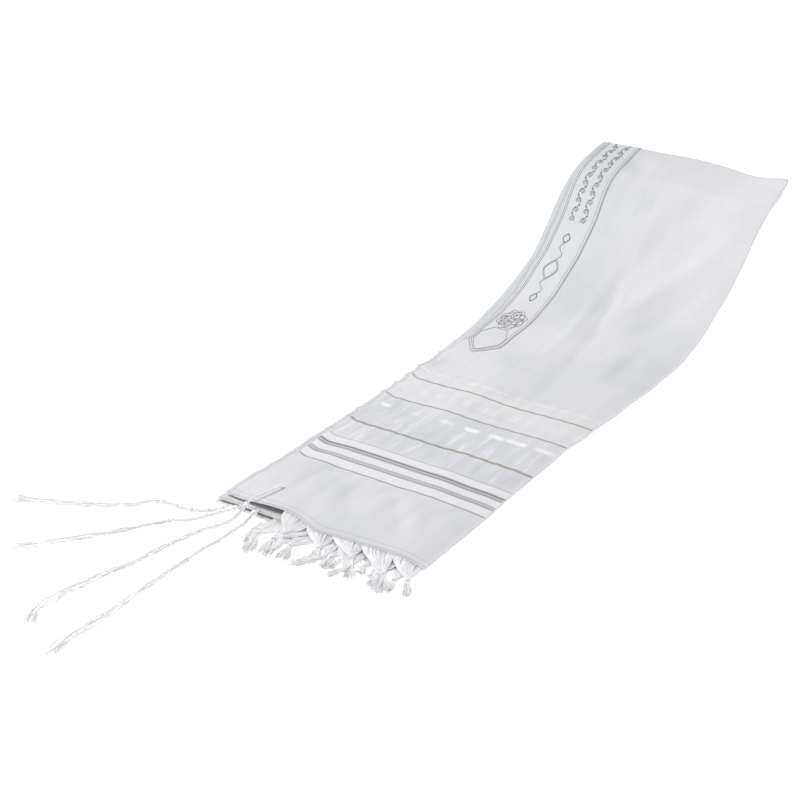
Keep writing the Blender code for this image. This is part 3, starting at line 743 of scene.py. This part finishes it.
sewing_thread = yarn_material("white_sewing_thread", (0.60, 0.61, 0.65, 1.0),
                              (0.50, 0.51, 0.55, 1.0), 0.45, 0.0, 2600.0, 0.3)
stitch_x = np.arange(-0.142, 0.140, STITCH + STITCH_GAP)
stitch_part = np.linspace(0.0, 1.0, 5)
at_x = stitch_x[:, None] + stitch_part * STITCH
arch = np.broadcast_to(np.sin(stitch_part * math.pi) * STITCH_ARCH - 0.0001, at_x.shape)
rows = [on_top(np.full_like(at_x, row_at), at_x, arch) for row_at in STITCH_ROWS]
hem_stitches = tube_object("hem_stitches", np.concatenate(rows), THREAD, 5)
hem_stitches.data.materials.append(sewing_thread)
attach(hem_stitches, "root")


# Neckband. A woven satin ribbon sewn along the middle of one long side of the panel, where
# the shawl lies round the neck. It has a blunt point at each end and runs on round the far
# fold to the hidden side.

NECKBAND_START = 0.472
NECKBAND_HIDDEN_START = 0.484
NECKBAND_POINT = 0.022
NECKBAND_BLUNT = 0.12
NECKBAND_MARGIN = 0.0130
NECKBAND_MARGIN_AT_FOLD = 0.0065
NECKBAND_DRIFTS = (0.74, 0.82)
NECKBAND_WIDTH = 0.057
NECKBAND_WALL = 0.0005
NECKBAND_LENGTH = 2 * FOLDED_LENGTH + TURN_LENGTH - NECKBAND_START - NECKBAND_HIDDEN_START


def band_middle(distance):
    """Place across of the ribbon's middle line, closer to the edge near the fold."""
    drift = smooth(distance, *NECKBAND_DRIFTS)
    margin = NECKBAND_MARGIN + (NECKBAND_MARGIN_AT_FOLD - NECKBAND_MARGIN) * drift
    return margin + (NECKBAND_WIDTH - FOLDED_WIDTH) / 2


def band_half(past_end):
    """Half width of the ribbon: it grows in a straight line along each pointed end."""
    point = np.clip(past_end / NECKBAND_POINT, 0.0, 1.0)
    return NECKBAND_WIDTH / 2 * (NECKBAND_BLUNT + (1.0 - NECKBAND_BLUNT) * point)


def on_band(run, share, height):
    """Point of the ribbon at a run along it, a share across (-1 to 1) and a height over it.

    The run goes on round the far fold, then back along the underside of the lower half.
    """
    turn_end = FOLDED_LENGTH + TURN_LENGTH
    back = np.clip(2 * FOLDED_LENGTH + TURN_LENGTH - run, 0.0, FOLDED_LENGTH - SEAM_GAP)
    under = run > turn_end
    distance = np.where(under, back, np.minimum(run, FOLDED_LENGTH))
    start = np.where(under, NECKBAND_HIDDEN_START, NECKBAND_START)
    x = band_middle(distance) + band_half(distance - start) * share
    centre, across, outward = upper_frame(np.minimum(run, turn_end))
    low = lower_frame(back)
    pick = under[..., None]
    centre = np.where(pick, low[0], centre)
    across = np.where(pick, low[1], across)
    outward = np.where(pick, low[2], outward)
    fade = 1.0 - smooth(run, FOLDED_LENGTH, turn_end)
    lift = relief(distance, x) * fade + height
    return centre + across * x[..., None] + outward * lift[..., None]


RIBBON = (0.698, 0.692, 0.728, 1.0)
# Painted shade of the ribbon; it also gives the cloudy change of tone.
RIBBON_SHADED = (0.640, 0.655, 0.680, 1.0)


def ribbon_material():
    """Satin ribbon: long floating threads across, a soft cloudy change of tone, and painted shade
    from 0.60 m to 1.20 m along it.
    """
    material, start = new_material("white_satin_ribbon", {
        "Specular IOR Level": 0.4, "Sheen Weight": 0.05})
    place = start.node("ShaderNodeUVMap", uv_map="cloth")
    across, along = place.part(0), place.part(1)
    soft = place.noise(30.0, 2.0)
    # Painted shade: the ribbon darkens from 0.60 m to 1.20 m along it; the cloudy patches change
    # its tone softly.
    tone = soft.rise(0.35, 0.7) * 0.7 + along.band(0.60, 1.20, 0.06) * 0.8
    rib = along.wave(0.0008)
    float_thread = (across + along * 0.5).wave(0.0032)
    height = rib * 0.5 + float_thread * 0.3
    feed(material, {"Base Color": tone.mix(RIBBON, RIBBON_SHADED),
                    "Roughness": 0.42 + soft * 0.14, "Normal": height.bump(0.00012, 0.35)})
    return material


band_end = 2 * FOLDED_LENGTH + TURN_LENGTH - NECKBAND_HIDDEN_START
band_run = np.concatenate([
    NECKBAND_START + np.linspace(0.0, NECKBAND_POINT, 13),
    np.arange(NECKBAND_START + 0.024, FOLDED_LENGTH, 0.004),
    FOLDED_LENGTH + np.linspace(0.0, TURN_LENGTH, 13),
    np.arange(FOLDED_LENGTH + TURN_LENGTH + 0.004, band_end - 0.023, 0.004),
    band_end - np.linspace(NECKBAND_POINT, 0.0, 9)])
band_share = np.linspace(-1.0, 1.0, 25)
run_grid, share_grid = np.meshgrid(band_run, band_share, indexing="ij")
points = on_band(run_grid, share_grid, np.full(run_grid.shape, 0.0001 + NECKBAND_WALL / 2))
places = np.stack([share_grid * NECKBAND_WIDTH / 2, run_grid], axis=-1)
neckband = grid_object("neckband_ribbon", points, places)
give_wall(neckband, NECKBAND_WALL)
neckband.data.materials.append(ribbon_material())
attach(neckband, "root")
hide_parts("neckband")


# Ornament of the neckband. It is stitched in dull silver thread: double border lines, a
# six-sided panel and a rosette at each end, a chain of lozenges, and then two rows of plain
# scrolls with seeds between them.

ORNAMENT_THREAD = 0.00040
FINE_THREAD = 0.00028
PANEL_THREAD = 0.00034
BAND_HALF = NECKBAND_WIDTH / 2
ORNAMENT_STEPS = 24
strokes, stroke_radii = [], []


def add_stroke(along, across, thread=ORNAMENT_THREAD):
    """Add a line of the ornament on the top side, and its copy on the hidden side.

    Along is measured from the ribbon's end and across from its middle line, both in metres.
    """
    share = np.linspace(0.0, 1.0, ORNAMENT_STEPS)
    along, across = np.asarray(along, float), np.asarray(across, float)
    size = np.hypot(np.diff(along), np.diff(across))
    at = np.append(0.0, np.cumsum(size)) / size.sum()
    along, across = np.interp(share, at, along), np.interp(share, at, across)
    for run in (NECKBAND_START + along, band_end - along):
        distance = np.minimum(run, np.where(run > FOLDED_LENGTH, 2 * FOLDED_LENGTH
                                            + TURN_LENGTH - run, run))
        start = NECKBAND_START if run[0] < FOLDED_LENGTH else NECKBAND_HIDDEN_START
        half = band_half(distance - start)
        strokes.append(on_band(run, across / half, np.full(run.shape, NECKBAND_WALL + 0.0003)))
        stroke_radii.append(np.full(run.shape, thread))


# Border lines, two along each side, of which the inner right one is finer. Columns: side,
# inset from the ribbon's edge, thread radius (m)
BORDERS = [(-1.0, 0.0022, 0.00036), (-1.0, 0.0052, 0.00032),
           (1.0, 0.0014, 0.00030), (1.0, 0.0052, 0.00017)]
border_end = NECKBAND_LENGTH / 2
cuts = np.linspace(0.0, 1.0, 20)
for side, inset, thread in BORDERS:
    edge = BAND_HALF - inset
    tip = inset * 1.25
    shoulder = NECKBAND_POINT + inset * 0.6
    along = shoulder + (border_end - shoulder) * cuts
    for low, high in zip(along, along[1:]):
        add_stroke([low, high], [side * edge] * 2, thread)
    add_stroke([tip, shoulder], [side * BAND_HALF * NECKBAND_BLUNT, side * edge], thread)
    add_stroke([tip] * 2, [0.0, side * BAND_HALF * NECKBAND_BLUNT], thread)

# The six-sided panel, from its tip round one side. Columns: along, across (m)
PANEL_CORNERS = [(0.0075, 0.0020), (0.0270, 0.0215), (0.0440, 0.0215), (0.0585, 0.0105)]
for side in (-1.0, 1.0):
    for low, high in zip(PANEL_CORNERS, PANEL_CORNERS[1:]):
        add_stroke([low[0], high[0]], [side * low[1], side * high[1]], PANEL_THREAD)
for at in (PANEL_CORNERS[0], PANEL_CORNERS[-1]):
    add_stroke([at[0]] * 2, [-at[1], at[1]], PANEL_THREAD)

ROSETTE_AT = 0.080
ROSETTE = 0.0205
ROSETTE_SPOKES = 22
for size, petals, thread in ((1.0, 8, PANEL_THREAD), (0.88, 8, FINE_THREAD),
                             (0.60, 6, FINE_THREAD), (0.30, 4, FINE_THREAD)):
    for k in range(petals):
        share = np.linspace(0.0, 1.0, 12)
        angle = 2 * math.pi * (k + share) / petals + size * 4.0
        reach = ROSETTE * size * (0.78 + 0.22 * np.sin(share * math.pi))
        add_stroke(ROSETTE_AT - reach * np.cos(angle), reach * np.sin(angle), thread)
for k in range(ROSETTE_SPOKES):
    angle = 2 * math.pi * k / ROSETTE_SPOKES
    reach = ROSETTE * np.linspace(0.10 if k % 2 else 0.38, 0.80, 6)
    bend = angle + np.linspace(0.0, 0.8, 6) * (1.0 if k % 3 else -1.0)
    add_stroke(ROSETTE_AT - reach * np.cos(bend), reach * np.sin(bend), FINE_THREAD)


def add_lozenge(centre, half_long, half_wide, middle):
    """A lozenge with slightly bowed sides, and a thinner one just inside it."""
    for size in (1.0, 0.86):
        for side in (-1.0, 1.0):
            turn = np.linspace(-1.0, 1.0, 15)
            wide = half_wide * size * (1.0 - np.abs(turn) ** 1.45)
            add_stroke(centre + half_long * size * turn, middle + side * wide,
                       ORNAMENT_THREAD if size == 1.0 else FINE_THREAD)


# Columns: centre along, half length, half width, middle across (m)
LOZENGES = [(0.130, 0.0085, 0.0050, 0.0005), (0.182, 0.0185, 0.0110, -0.0015),
            (0.236, 0.0085, 0.0055, -0.0030)]
for lozenge in LOZENGES:
    add_lozenge(*lozenge)

LINK_SWAY = 0.0042

# The bent lines between them. Columns: from and to along, from and to across (m)
LINKS = [(0.1385, 0.1635, 0.0005, -0.0015), (0.2005, 0.2275, -0.0015, -0.0030)]
for low, high, first, last in LINKS:
    turn = np.linspace(0.0, 1.0, 16)
    sway = np.sin(turn * 2 * math.pi) * LINK_SWAY
    add_stroke(low + (high - low) * turn, first + (last - first) * turn + sway)

SCROLL_FROM = 0.264
SCROLL_PITCH = 0.0150
SCROLL_ROW = 0.0088
SCROLL = 0.0046
SEED = 0.0012
scroll_count = int((border_end - SCROLL_FROM) / SCROLL_PITCH)
for row_at, flip in ((-SCROLL_ROW, 1.0), (SCROLL_ROW, -1.0)):
    for k in range(scroll_count):
        low = SCROLL_FROM + k * SCROLL_PITCH
        turn = np.linspace(0.0, 1.0, 24)
        way = flip * (1.0 if k % 2 else -1.0)
        coil = turn * 3.2 * math.pi
        shrink = SCROLL * (1.0 - 0.72 * turn)
        add_stroke(low + 0.0052 - shrink * np.cos(coil), row_at + way * shrink * np.sin(coil))
        add_stroke(low + 0.0006 + SCROLL_PITCH * turn,
                   row_at - way * 0.0040 * np.cos(turn * math.pi))
        seed = np.linspace(0.0, 2 * math.pi, 9)
        add_stroke(low + 0.0122 + SEED * np.cos(seed),
                   row_at + way * 0.0030 + SEED * np.sin(seed))

silver_thread = yarn_material("dull_silver_thread", (0.300, 0.300, 0.318, 1.0),
                              (0.190, 0.192, 0.208, 1.0), 0.42, 0.12, 3000.0, 0.4)
ornament = tube_object("neckband_ornament", np.stack(strokes), np.stack(stroke_radii), 4)
ornament.data.materials.append(silver_thread)
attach(ornament, "root")


# Fringe. At each cut end of the panel the unwoven warp is gathered in bunches and each bunch
# is tied in a knot, which leaves a loose brush of threads below it. All four leaves have one.

# Each leaf's own height, then its bunches. Columns: root across, knot across, knot towards
# the viewer from the edge, tip across, tip towards the viewer, spread (all m)
FRINGE_ROWS = {
    "fringe_1": ("leaf_1", STACK - 0.00050, [
        (-0.027, -0.024, 0.027, -0.018, 0.056, 0.0060), (0.013, 0.030, 0.030, 0.036, 0.058, 0.0050),
        (0.053, 0.072, 0.027, 0.094, 0.060, 0.0050), (0.093, 0.122, 0.033, 0.138, 0.066, 0.0095),
        (0.135, 0.151, 0.029, 0.166, 0.052, 0.0035)]),
    "fringe_2": ("leaf_2", HALF_THICKNESS + HALVES_GAP + 0.00095, [
        (-0.017, -0.028, 0.042, -0.016, 0.078, 0.0085), (0.023, 0.046, 0.042, 0.018, 0.074, 0.0030),
        (0.063, 0.081, 0.050, 0.068, 0.068, 0.0026), (0.103, 0.116, 0.036, 0.121, 0.060, 0.0045)]),
    "fringe_3": ("leaf_3", HALF_THICKNESS - 0.00095, [
        (-0.037, -0.050, 0.042, -0.036, 0.084, 0.0080),
        (0.003, -0.002, 0.042, 0.006, 0.074, 0.0080),
        (0.043, 0.052, 0.035, 0.056, 0.060, 0.0050), (0.083, 0.094, 0.030, 0.098, 0.044, 0.0030),
        (0.123, 0.138, 0.034, 0.142, 0.056, 0.0045)]),
    "fringe_4": ("leaf_4", 0.00095, [
        (-0.047, -0.062, 0.036, -0.050, 0.070, 0.0075),
        (-0.007, -0.014, 0.042, -0.022, 0.068, 0.0055),
        (0.033, 0.034, 0.038, 0.030, 0.062, 0.0055), (0.073, 0.064, 0.034, 0.060, 0.052, 0.0040),
        (0.113, 0.108, 0.030, 0.112, 0.044, 0.0030)]),
}
TASSEL_ROOT = 0.0212
WEB_THREADS = 58
WEB_STEPS = 10
BRUSH_THREADS = 64
BRUSH_STEPS = 8
BRUSH_YARN = 0.000525
WEB_YARN = 0.00047
KNOT_REACH = 0.0025
KNOT_YARN = 0.0012
REST_HEIGHT = 0.0012

# The web between hem and knot: shares of the way, half width of the bunch, its thickness (m)
WEB_AT = [0.0, 0.30, 0.55, 0.80, 1.0]
WEB_WIDTHS = [TASSEL_ROOT, 0.0190, 0.0140, 0.0072, 0.0021]
WEB_THICKNESS_AT = [0.0, 0.5, 1.0]
WEB_THICKNESS = [0.0001, 0.0004, 0.0016]

# Its last value is painted light: a faint white emission that lightens the fringe where it lies in
# shade.
fringe_yarn = yarn_material("white_fringe_yarn", (0.905, 0.905, 0.918, 1.0),
                            (0.820, 0.823, 0.842, 1.0), 0.85, 0.0, 900.0, 0.40, 0.02)


def tassel_lines(random, root, knot, tip, spread, height_at_root):
    """Threads of one tassel: (web lines, winding of the knot, brush lines).

    The web's threads start side by side at the hem and close in on the knot. The brush's
    threads leave the knot and fan out as they fall to the table.
    """
    turn = np.linspace(0.0, 1.0, WEB_STEPS)
    place = np.linspace(-1.0, 1.0, WEB_THREADS)[:, None]
    place = place + random.normal(0, 0.02, (WEB_THREADS, 1))
    width = np.interp(turn, WEB_AT, WEB_WIDTHS)
    layer = random.uniform(-1.0, 1.0, (WEB_THREADS, 1))
    thick = np.interp(turn, WEB_THICKNESS_AT, WEB_THICKNESS)
    middle = root[None] + (knot - root)[None] * turn[:, None]
    middle[:, 0] = root[0] + (knot[0] - root[0]) * turn ** 1.5
    web = np.broadcast_to(middle, (WEB_THREADS, WEB_STEPS, 3)).copy()
    stray = random.normal(0, 0.0002, web.shape[:2]) * np.sin(turn * math.pi)
    web[..., 0] += place * width + stray
    fall = smooth(turn, 0.0, 1.0)
    web[..., 2] = root[2] + (knot[2] - root[2]) * fall + layer * thick
    out_at_root, up_at_root = height_at_root(root[0] + place[:, 0] * TASSEL_ROOT)
    web[..., 1] -= out_at_root[:, None] * (1.0 - turn)
    web[..., 2] += up_at_root[:, None] * (1.0 - fall)
    lean = math.atan2(tip[0] - knot[0], knot[1] - tip[1])
    axis = np.array([math.sin(lean), -math.cos(lean), 0.0])
    across = np.array([math.cos(lean), math.sin(lean), 0.0])
    up = np.array([0.0, 0.0, 1.0])
    wind = np.linspace(0.0, 1.0, 46)
    angle = wind * 2 * math.pi * 3.1 + lean
    reach = KNOT_REACH * (0.70 + 0.45 * np.sin(wind * math.pi))
    winding = (knot + axis * ((wind - 0.5) * 0.0052 + 0.0020)[:, None]
               + across * (reach * np.cos(angle))[:, None]
               + up * (reach * np.sin(angle))[:, None])
    shape = (BRUSH_THREADS, 1)
    fan, rise = random.uniform(-1.0, 1.0, shape), random.uniform(-1.0, 1.0, shape)
    length = (math.dist(knot[:2], tip) - 0.004) * random.uniform(0.70, 1.05, shape)
    out = np.linspace(0.0, 1.0, BRUSH_STEPS)
    wave = random.normal(0, 0.0013, shape) * np.sin(out * 9.0 + random.uniform(0, 6, shape))
    sideways = fan * (0.0018 + spread * out ** 0.8) + wave * (0.3 + out)
    ahead = 0.0040 + length * out * (1.0 - 0.06 * fan * fan)
    foot = REST_HEIGHT + 0.0022 * (rise + 1.0)
    start_z = knot[2] + rise * 0.0014
    height = start_z + (foot - start_z) * smooth(out, 0.0, 0.9)
    brush = knot[None, None] + axis * ahead[..., None] + across * sideways[..., None]
    brush[..., 2] = height
    return web, winding, brush


def quiet_edge(x):
    """The hidden leaves' near edges keep their own line and height."""
    return np.zeros_like(x), np.zeros_like(x)


def top_edge(x):
    """Reach and height of the top leaf's near edge past its plain one."""
    place = x - SECTIONS[0, DRIFT]
    return near_sway(place), relief(np.zeros_like(x), place) - HEM_HEIGHT


def join_parts(parts, name, material):
    """Join tubes into one object with one name and one material."""
    with bpy.context.temp_override(active_object=parts[0], selected_editable_objects=parts):
        bpy.ops.object.join()
    made = parts[0]
    made.name = name
    made.data.materials.clear()
    made.data.materials.append(material)
    return made


brush_taper = np.interp(np.linspace(0, 1, BRUSH_STEPS), [0.0, 0.8, 1.0], [1.0, 0.9, 0.5])
for number, (node, (leaf, level, bunches)) in enumerate(FRINGE_ROWS.items()):
    random = np.random.default_rng(40 + number)
    webs, windings, brushes = [], [], []
    edge = -ORIGIN_FROM_NEAR_END - LEAF_NEAR[leaf]
    over = top_edge if node == "fringe_1" else quiet_edge
    for root_x, knot_x, knot_out, tip_x, tip_out, spread in bunches:
        root = np.array([root_x, edge, level])
        knot = np.array([knot_x, -ORIGIN_FROM_NEAR_END - knot_out, 0.0042 + 0.25 * level])
        tip = np.array([tip_x, -ORIGIN_FROM_NEAR_END - tip_out])
        web, winding, brush = tassel_lines(random, root, knot, tip, spread, over)
        webs.append(web)
        windings.append(winding)
        brushes.append(brush)
    parts = [
        tube_object(node + "_web", np.concatenate(webs), WEB_YARN, 4),
        tube_object(node + "_knots", np.stack(windings), KNOT_YARN, 6, (0.0, -1.0, 0.0)),
        tube_object(node + "_brush", np.concatenate(brushes), BRUSH_YARN * brush_taper, 4),
    ]
    tassels = join_parts(parts, node + "_tassels", fringe_yarn)
    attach(tassels, "root")
    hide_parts(node)


# Corner tassels. Each is a white woollen cord through an eyelet in a corner of the panel,
# tied in five double knots with tight windings between them, and its eight strands of two
# plies hang loose below the last knot. Here they lie out on the table.

LEG_YARN = 0.00058
LEG_REACH = 0.00078
LEG_PITCH = 0.016
CORE_RADIUS = 0.0016
WINDING_YARN = 0.00058
WINDING_REACH = 0.00175
WINDING_PITCH = 0.0013
CORD_KNOTS = 5
CORD_KNOT_YARN = 0.00125
CORD_KNOT_REACH = 0.00255
CORD_KNOT_LENGTH = 0.0046
CORD_KNOT_TURNS = 2.2
STRANDS = 8
PLY = 0.00050
PLY_TWIST = 0.00036
PLY_PITCH = 0.0034

# Along its route a tassel has four legs to just past its loop, then the knotted stretch and
# the loose strands. A route's columns: across, from the near edge towards the far end,
# height (all m)
TZITZIT = {
    "tzitzit_1": {"knotted": 0.095, "loop": 0.010, "seed": 3, "route": [
        (-0.122, -0.0085, 0.0042), (-0.130, -0.030, 0.0046), (-0.145, -0.043, 0.0046),
        (-0.166, -0.049, 0.0046), (-0.193, -0.050, 0.0040), (-0.210, -0.058, 0.0034),
        (-0.229, -0.082, 0.0034), (-0.269, -0.108, 0.0034), (-0.319, -0.132, 0.0034),
        (-0.357, -0.150, 0.0034)]},
    "tzitzit_2": {"knotted": 0.088, "loop": 0.010, "seed": 4, "route": [
        (-0.108, -0.0056, 0.0066), (-0.114, -0.022, 0.0062), (-0.126, -0.040, 0.0046),
        (-0.138, -0.066, 0.0046), (-0.156, -0.078, 0.0040), (-0.173, -0.102, 0.0034),
        (-0.189, -0.130, 0.0034), (-0.212, -0.163, 0.0034), (-0.244, -0.203, 0.0034),
        (-0.265, -0.230, 0.0034)]},
    "tzitzit_3": {"knotted": 0.128, "loop": 0.060, "seed": 5, "route": [
        (-0.089, 0.048, 0.0172), (-0.092, 0.022, 0.0178), (-0.095, 0.003, 0.0188),
        (-0.096, -0.009, 0.0150), (-0.097, -0.022, 0.0092), (-0.097, -0.037, 0.0050),
        (-0.101, -0.054, 0.0046), (-0.111, -0.074, 0.0040), (-0.117, -0.101, 0.0034),
        (-0.122, -0.134, 0.0034), (-0.125, -0.170, 0.0034), (-0.133, -0.203, 0.0034),
        (-0.139, -0.238, 0.0034), (-0.143, -0.272, 0.0034), (-0.139, -0.303, 0.0034),
        (-0.126, -0.323, 0.0034)]},
    "tzitzit_4": {"knotted": 0.100, "loop": 0.010, "seed": 6, "route": [
        (-0.083, -0.0036, 0.0088), (-0.082, -0.016, 0.0080), (-0.080, -0.035, 0.0050),
        (-0.079, -0.058, 0.0046), (-0.078, -0.084, 0.0046), (-0.081, -0.104, 0.0040),
        (-0.080, -0.132, 0.0034), (-0.080, -0.154, 0.0034), (-0.078, -0.184, 0.0034),
        (-0.076, -0.226, 0.0034), (-0.073, -0.261, 0.0034), (-0.072, -0.300, 0.0034),
        (-0.071, -0.336, 0.0034), (-0.068, -0.356, 0.0034)]},
}

# Its last value is painted light: a faint white emission that lightens the cords where they lie in
# shade.
tassel_wool = yarn_material("white_tassel_wool", (0.940, 0.940, 0.948, 1.0),
                            (0.870, 0.873, 0.888, 1.0), 0.85, 0.0, 1100.0, 0.35, 0.02)


class Route:
    """Smooth curve through the points of a route (Catmull-Rom), read at any run along it."""

    def __init__(self, points):
        points = np.array(points, float)
        points[:, 1] -= ORIGIN_FROM_NEAR_END
        ends = np.concatenate([[2 * points[0] - points[1]], points,
                               [2 * points[-1] - points[-2]]])
        t = np.linspace(0.0, 1.0, 25)[:-1][None, :, None]
        a, b, c, d = (ends[k:len(ends) - 3 + k][:, None] for k in range(4))
        fine = 0.5 * (2 * b + (c - a) * t + (2 * a - 5 * b + 4 * c - d) * t ** 2
                      + (3 * b - a - 3 * c + d) * t ** 3)
        self.points = np.concatenate([fine.reshape(-1, 3), points[-1:]])
        steps = np.linalg.norm(np.diff(self.points, axis=0), axis=1)
        self.run = np.append(0.0, np.cumsum(steps))
        self.length = self.run[-1]

    def at(self, run):
        """Point at a run, in a straight line between two worked out points."""
        return np.stack([np.interp(run, self.run, self.points[:, k]) for k in range(3)], axis=-1)

    def frame(self, run):
        """Point, tangent, side and top directions at a run."""
        ahead = self.at(np.minimum(run + 0.002, self.length))
        ahead -= self.at(np.maximum(run - 0.002, 0))
        ahead /= np.linalg.norm(ahead, axis=-1, keepdims=True)
        side = np.cross(ahead, (0.0, 0.0, 1.0))
        side /= np.linalg.norm(side, axis=-1, keepdims=True)
        return self.at(run), ahead, side, np.cross(side, ahead)

    def round_it(self, run, angle, reach):
        """Points that wind round the route: side and top turned by an angle, at a reach."""
        point, _, side, top = self.frame(run)
        return (point + side * (np.cos(angle) * reach)[..., None]
                + top * (np.sin(angle) * reach)[..., None])


for name, cord in TZITZIT.items():
    random = np.random.default_rng(cord["seed"])
    route = Route(cord["route"])
    start, end = cord["loop"], cord["knotted"]
    run = np.linspace(0.0, start + 0.003, max(12, int((start + 0.003) / 0.0012)))
    turn = run * 2 * math.pi / LEG_PITCH
    legs = [route.round_it(run, turn + k * math.pi / 2, np.full_like(run, LEG_REACH))
            for k in range(4)]
    parts = [tube_object("legs", np.stack(legs), LEG_YARN, 6)]
    core = route.at(np.linspace(start, end, int((end - start) / 0.002)))
    parts.append(tube_object("core", core[None], CORE_RADIUS, 8))
    run = np.linspace(start, end, int((end - start) / WINDING_PITCH * 10))
    uneven = 1.0 + 0.05 * np.sin(run * 700.0)
    coil = route.round_it(run, run * 2 * math.pi / WINDING_PITCH, WINDING_REACH * uneven)
    parts.append(tube_object("windings", coil[None], WINDING_YARN, 4,
                             route.frame(run)[1][None]))
    wind = np.linspace(0.0, 1.0, 40)
    reach = CORD_KNOT_REACH * (0.85 + 0.2 * np.sin(wind * math.pi))
    knots, knots_ahead = [], []
    for at in np.linspace(start, end, CORD_KNOTS):
        run = at + (wind - 0.5) * CORD_KNOT_LENGTH
        turn = wind * 2 * math.pi * CORD_KNOT_TURNS + at * 90
        knots.append(route.round_it(run, turn, reach))
        knots_ahead.append(route.frame(at + np.zeros_like(wind))[1])
    parts.append(tube_object("knots", np.stack(knots), CORD_KNOT_YARN, 6,
                             np.stack(knots_ahead)))
    loose = route.length - end
    count = int(loose / PLY_PITCH * 6)
    run = np.linspace(end, route.length, count)
    share = (run - end) / loose
    plies = []
    for k in range(STRANDS):
        around = k * 2 * math.pi / STRANDS + random.normal(0, 0.2)
        wander = 0.0016 * share * np.sin(run * random.uniform(45, 75) + random.uniform(0, 6))
        wander += 0.0008 * np.sin(run * random.uniform(150, 210) + random.uniform(0, 6))
        cross = math.cos(around) * (0.0014 + 0.0042 * share) + wander
        lift = math.sin(around) * 0.0016 + 0.0005 * np.sin(run * 130 + k)
        shrink = 1.0 - 0.10 * random.uniform(0, 1)
        point, _, side, top = route.frame(end + (run - end) * shrink)
        line = point + side * cross[:, None] + top * lift[:, None]
        opened = PLY_TWIST * (1.0 + 2.8 * smooth(share, 0.90, 1.0))
        for ply in (0.0, math.pi):
            angle = run * 2 * math.pi / PLY_PITCH + ply
            twisted = (line + side * (np.cos(angle) * opened)[:, None]
                       + top * (np.sin(angle) * opened)[:, None])
            twisted[:, 2] = np.maximum(twisted[:, 2], PLY * 1.2)
            plies.append(twisted)
    parts.append(tube_object("strands", np.stack(plies), PLY, 4))
    tassel = join_parts(parts, name + "_cord", tassel_wool)
    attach(tassel, "root")
    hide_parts(name)


# Eyelet. A small hole near the corner of the panel is bound with close stitches of the same
# thread, and the corner cord goes through it.

EYELET_AT = 0.050
EYELET_ACROSS = -0.095
EYELET_RADIUS = 0.0034
EYELET_THREAD = 0.00042
stitch_turn = np.linspace(0.0, 2 * math.pi, 27)[:-1, None]
part = np.linspace(0.0, 1.0, 6)
reach = EYELET_RADIUS + 0.0011 * np.cos(part * math.pi)
arch = 0.0006 * np.sin(part * math.pi)
eyelet_distance = EYELET_AT + reach * np.sin(stitch_turn)
eyelet_across = EYELET_ACROSS + reach * np.cos(stitch_turn)
lines = on_top(eyelet_distance, eyelet_across, np.broadcast_to(arch, eyelet_across.shape))
eyelet = tube_object("eyelet_binding", lines, EYELET_THREAD, 4)
eyelet.data.materials.append(fringe_yarn)
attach(eyelet, "root")


# Table, light and camera. The shawl lies on a plain white table under large soft lights, and
# the camera looks down along it from the near right.

floor = mesh_object("floor", [(-60, -60, 0), (60, -60, 0), (60, 60, 0), (-60, 60, 0)],
                    [(0, 1, 2, 3)])
white_table = new_material("white_table", {
    "Base Color": (0.90, 0.90, 0.90, 1.0), "Roughness": 0.9, "Emission Strength": 0.52,
    "Emission Color": (1.0, 1.0, 1.0, 1.0), "Specular IOR Level": 0.0})[0]
floor.data.materials.append(white_table)

world = bpy.data.worlds.new("studio")
bpy.context.scene.world = world
world.use_nodes = True
world.node_tree.nodes["Background"].inputs["Color"].default_value = (1.0, 1.0, 1.0, 1.0)
world.node_tree.nodes["Background"].inputs["Strength"].default_value = 0.41

# Columns: name, place, the point it faces, size (m), power (W)
LIGHTS = [
    ("key", (-2.0, -0.6, 2.3), (0.0, 0.2, 0.0), 1.4, 71.0),
    ("fill", (2.2, 0.2, 2.2), (0.0, 0.2, 0.1), 2.6, 25.0),
]
for name, place, target, size, power in LIGHTS:
    lamp = bpy.data.lights.new(name, "AREA")
    lamp.size = size
    lamp.energy = power
    made = add_object(name, lamp)
    made.location = place
    made.rotation_euler = (Vector(target) - Vector(place)).to_track_quat("-Z", "Y").to_euler()

lens = bpy.data.cameras.new("camera")
lens.lens = 64.35
lens.sensor_width = 36.0
camera = add_object("camera", lens)
camera.location = (0.917, -1.308, 0.8409)
camera.rotation_euler = (math.radians(90 - 24.73), 0.0, math.radians(35.23))
bpy.context.scene.camera = camera
bpy.context.scene.view_settings.view_transform = "Standard"
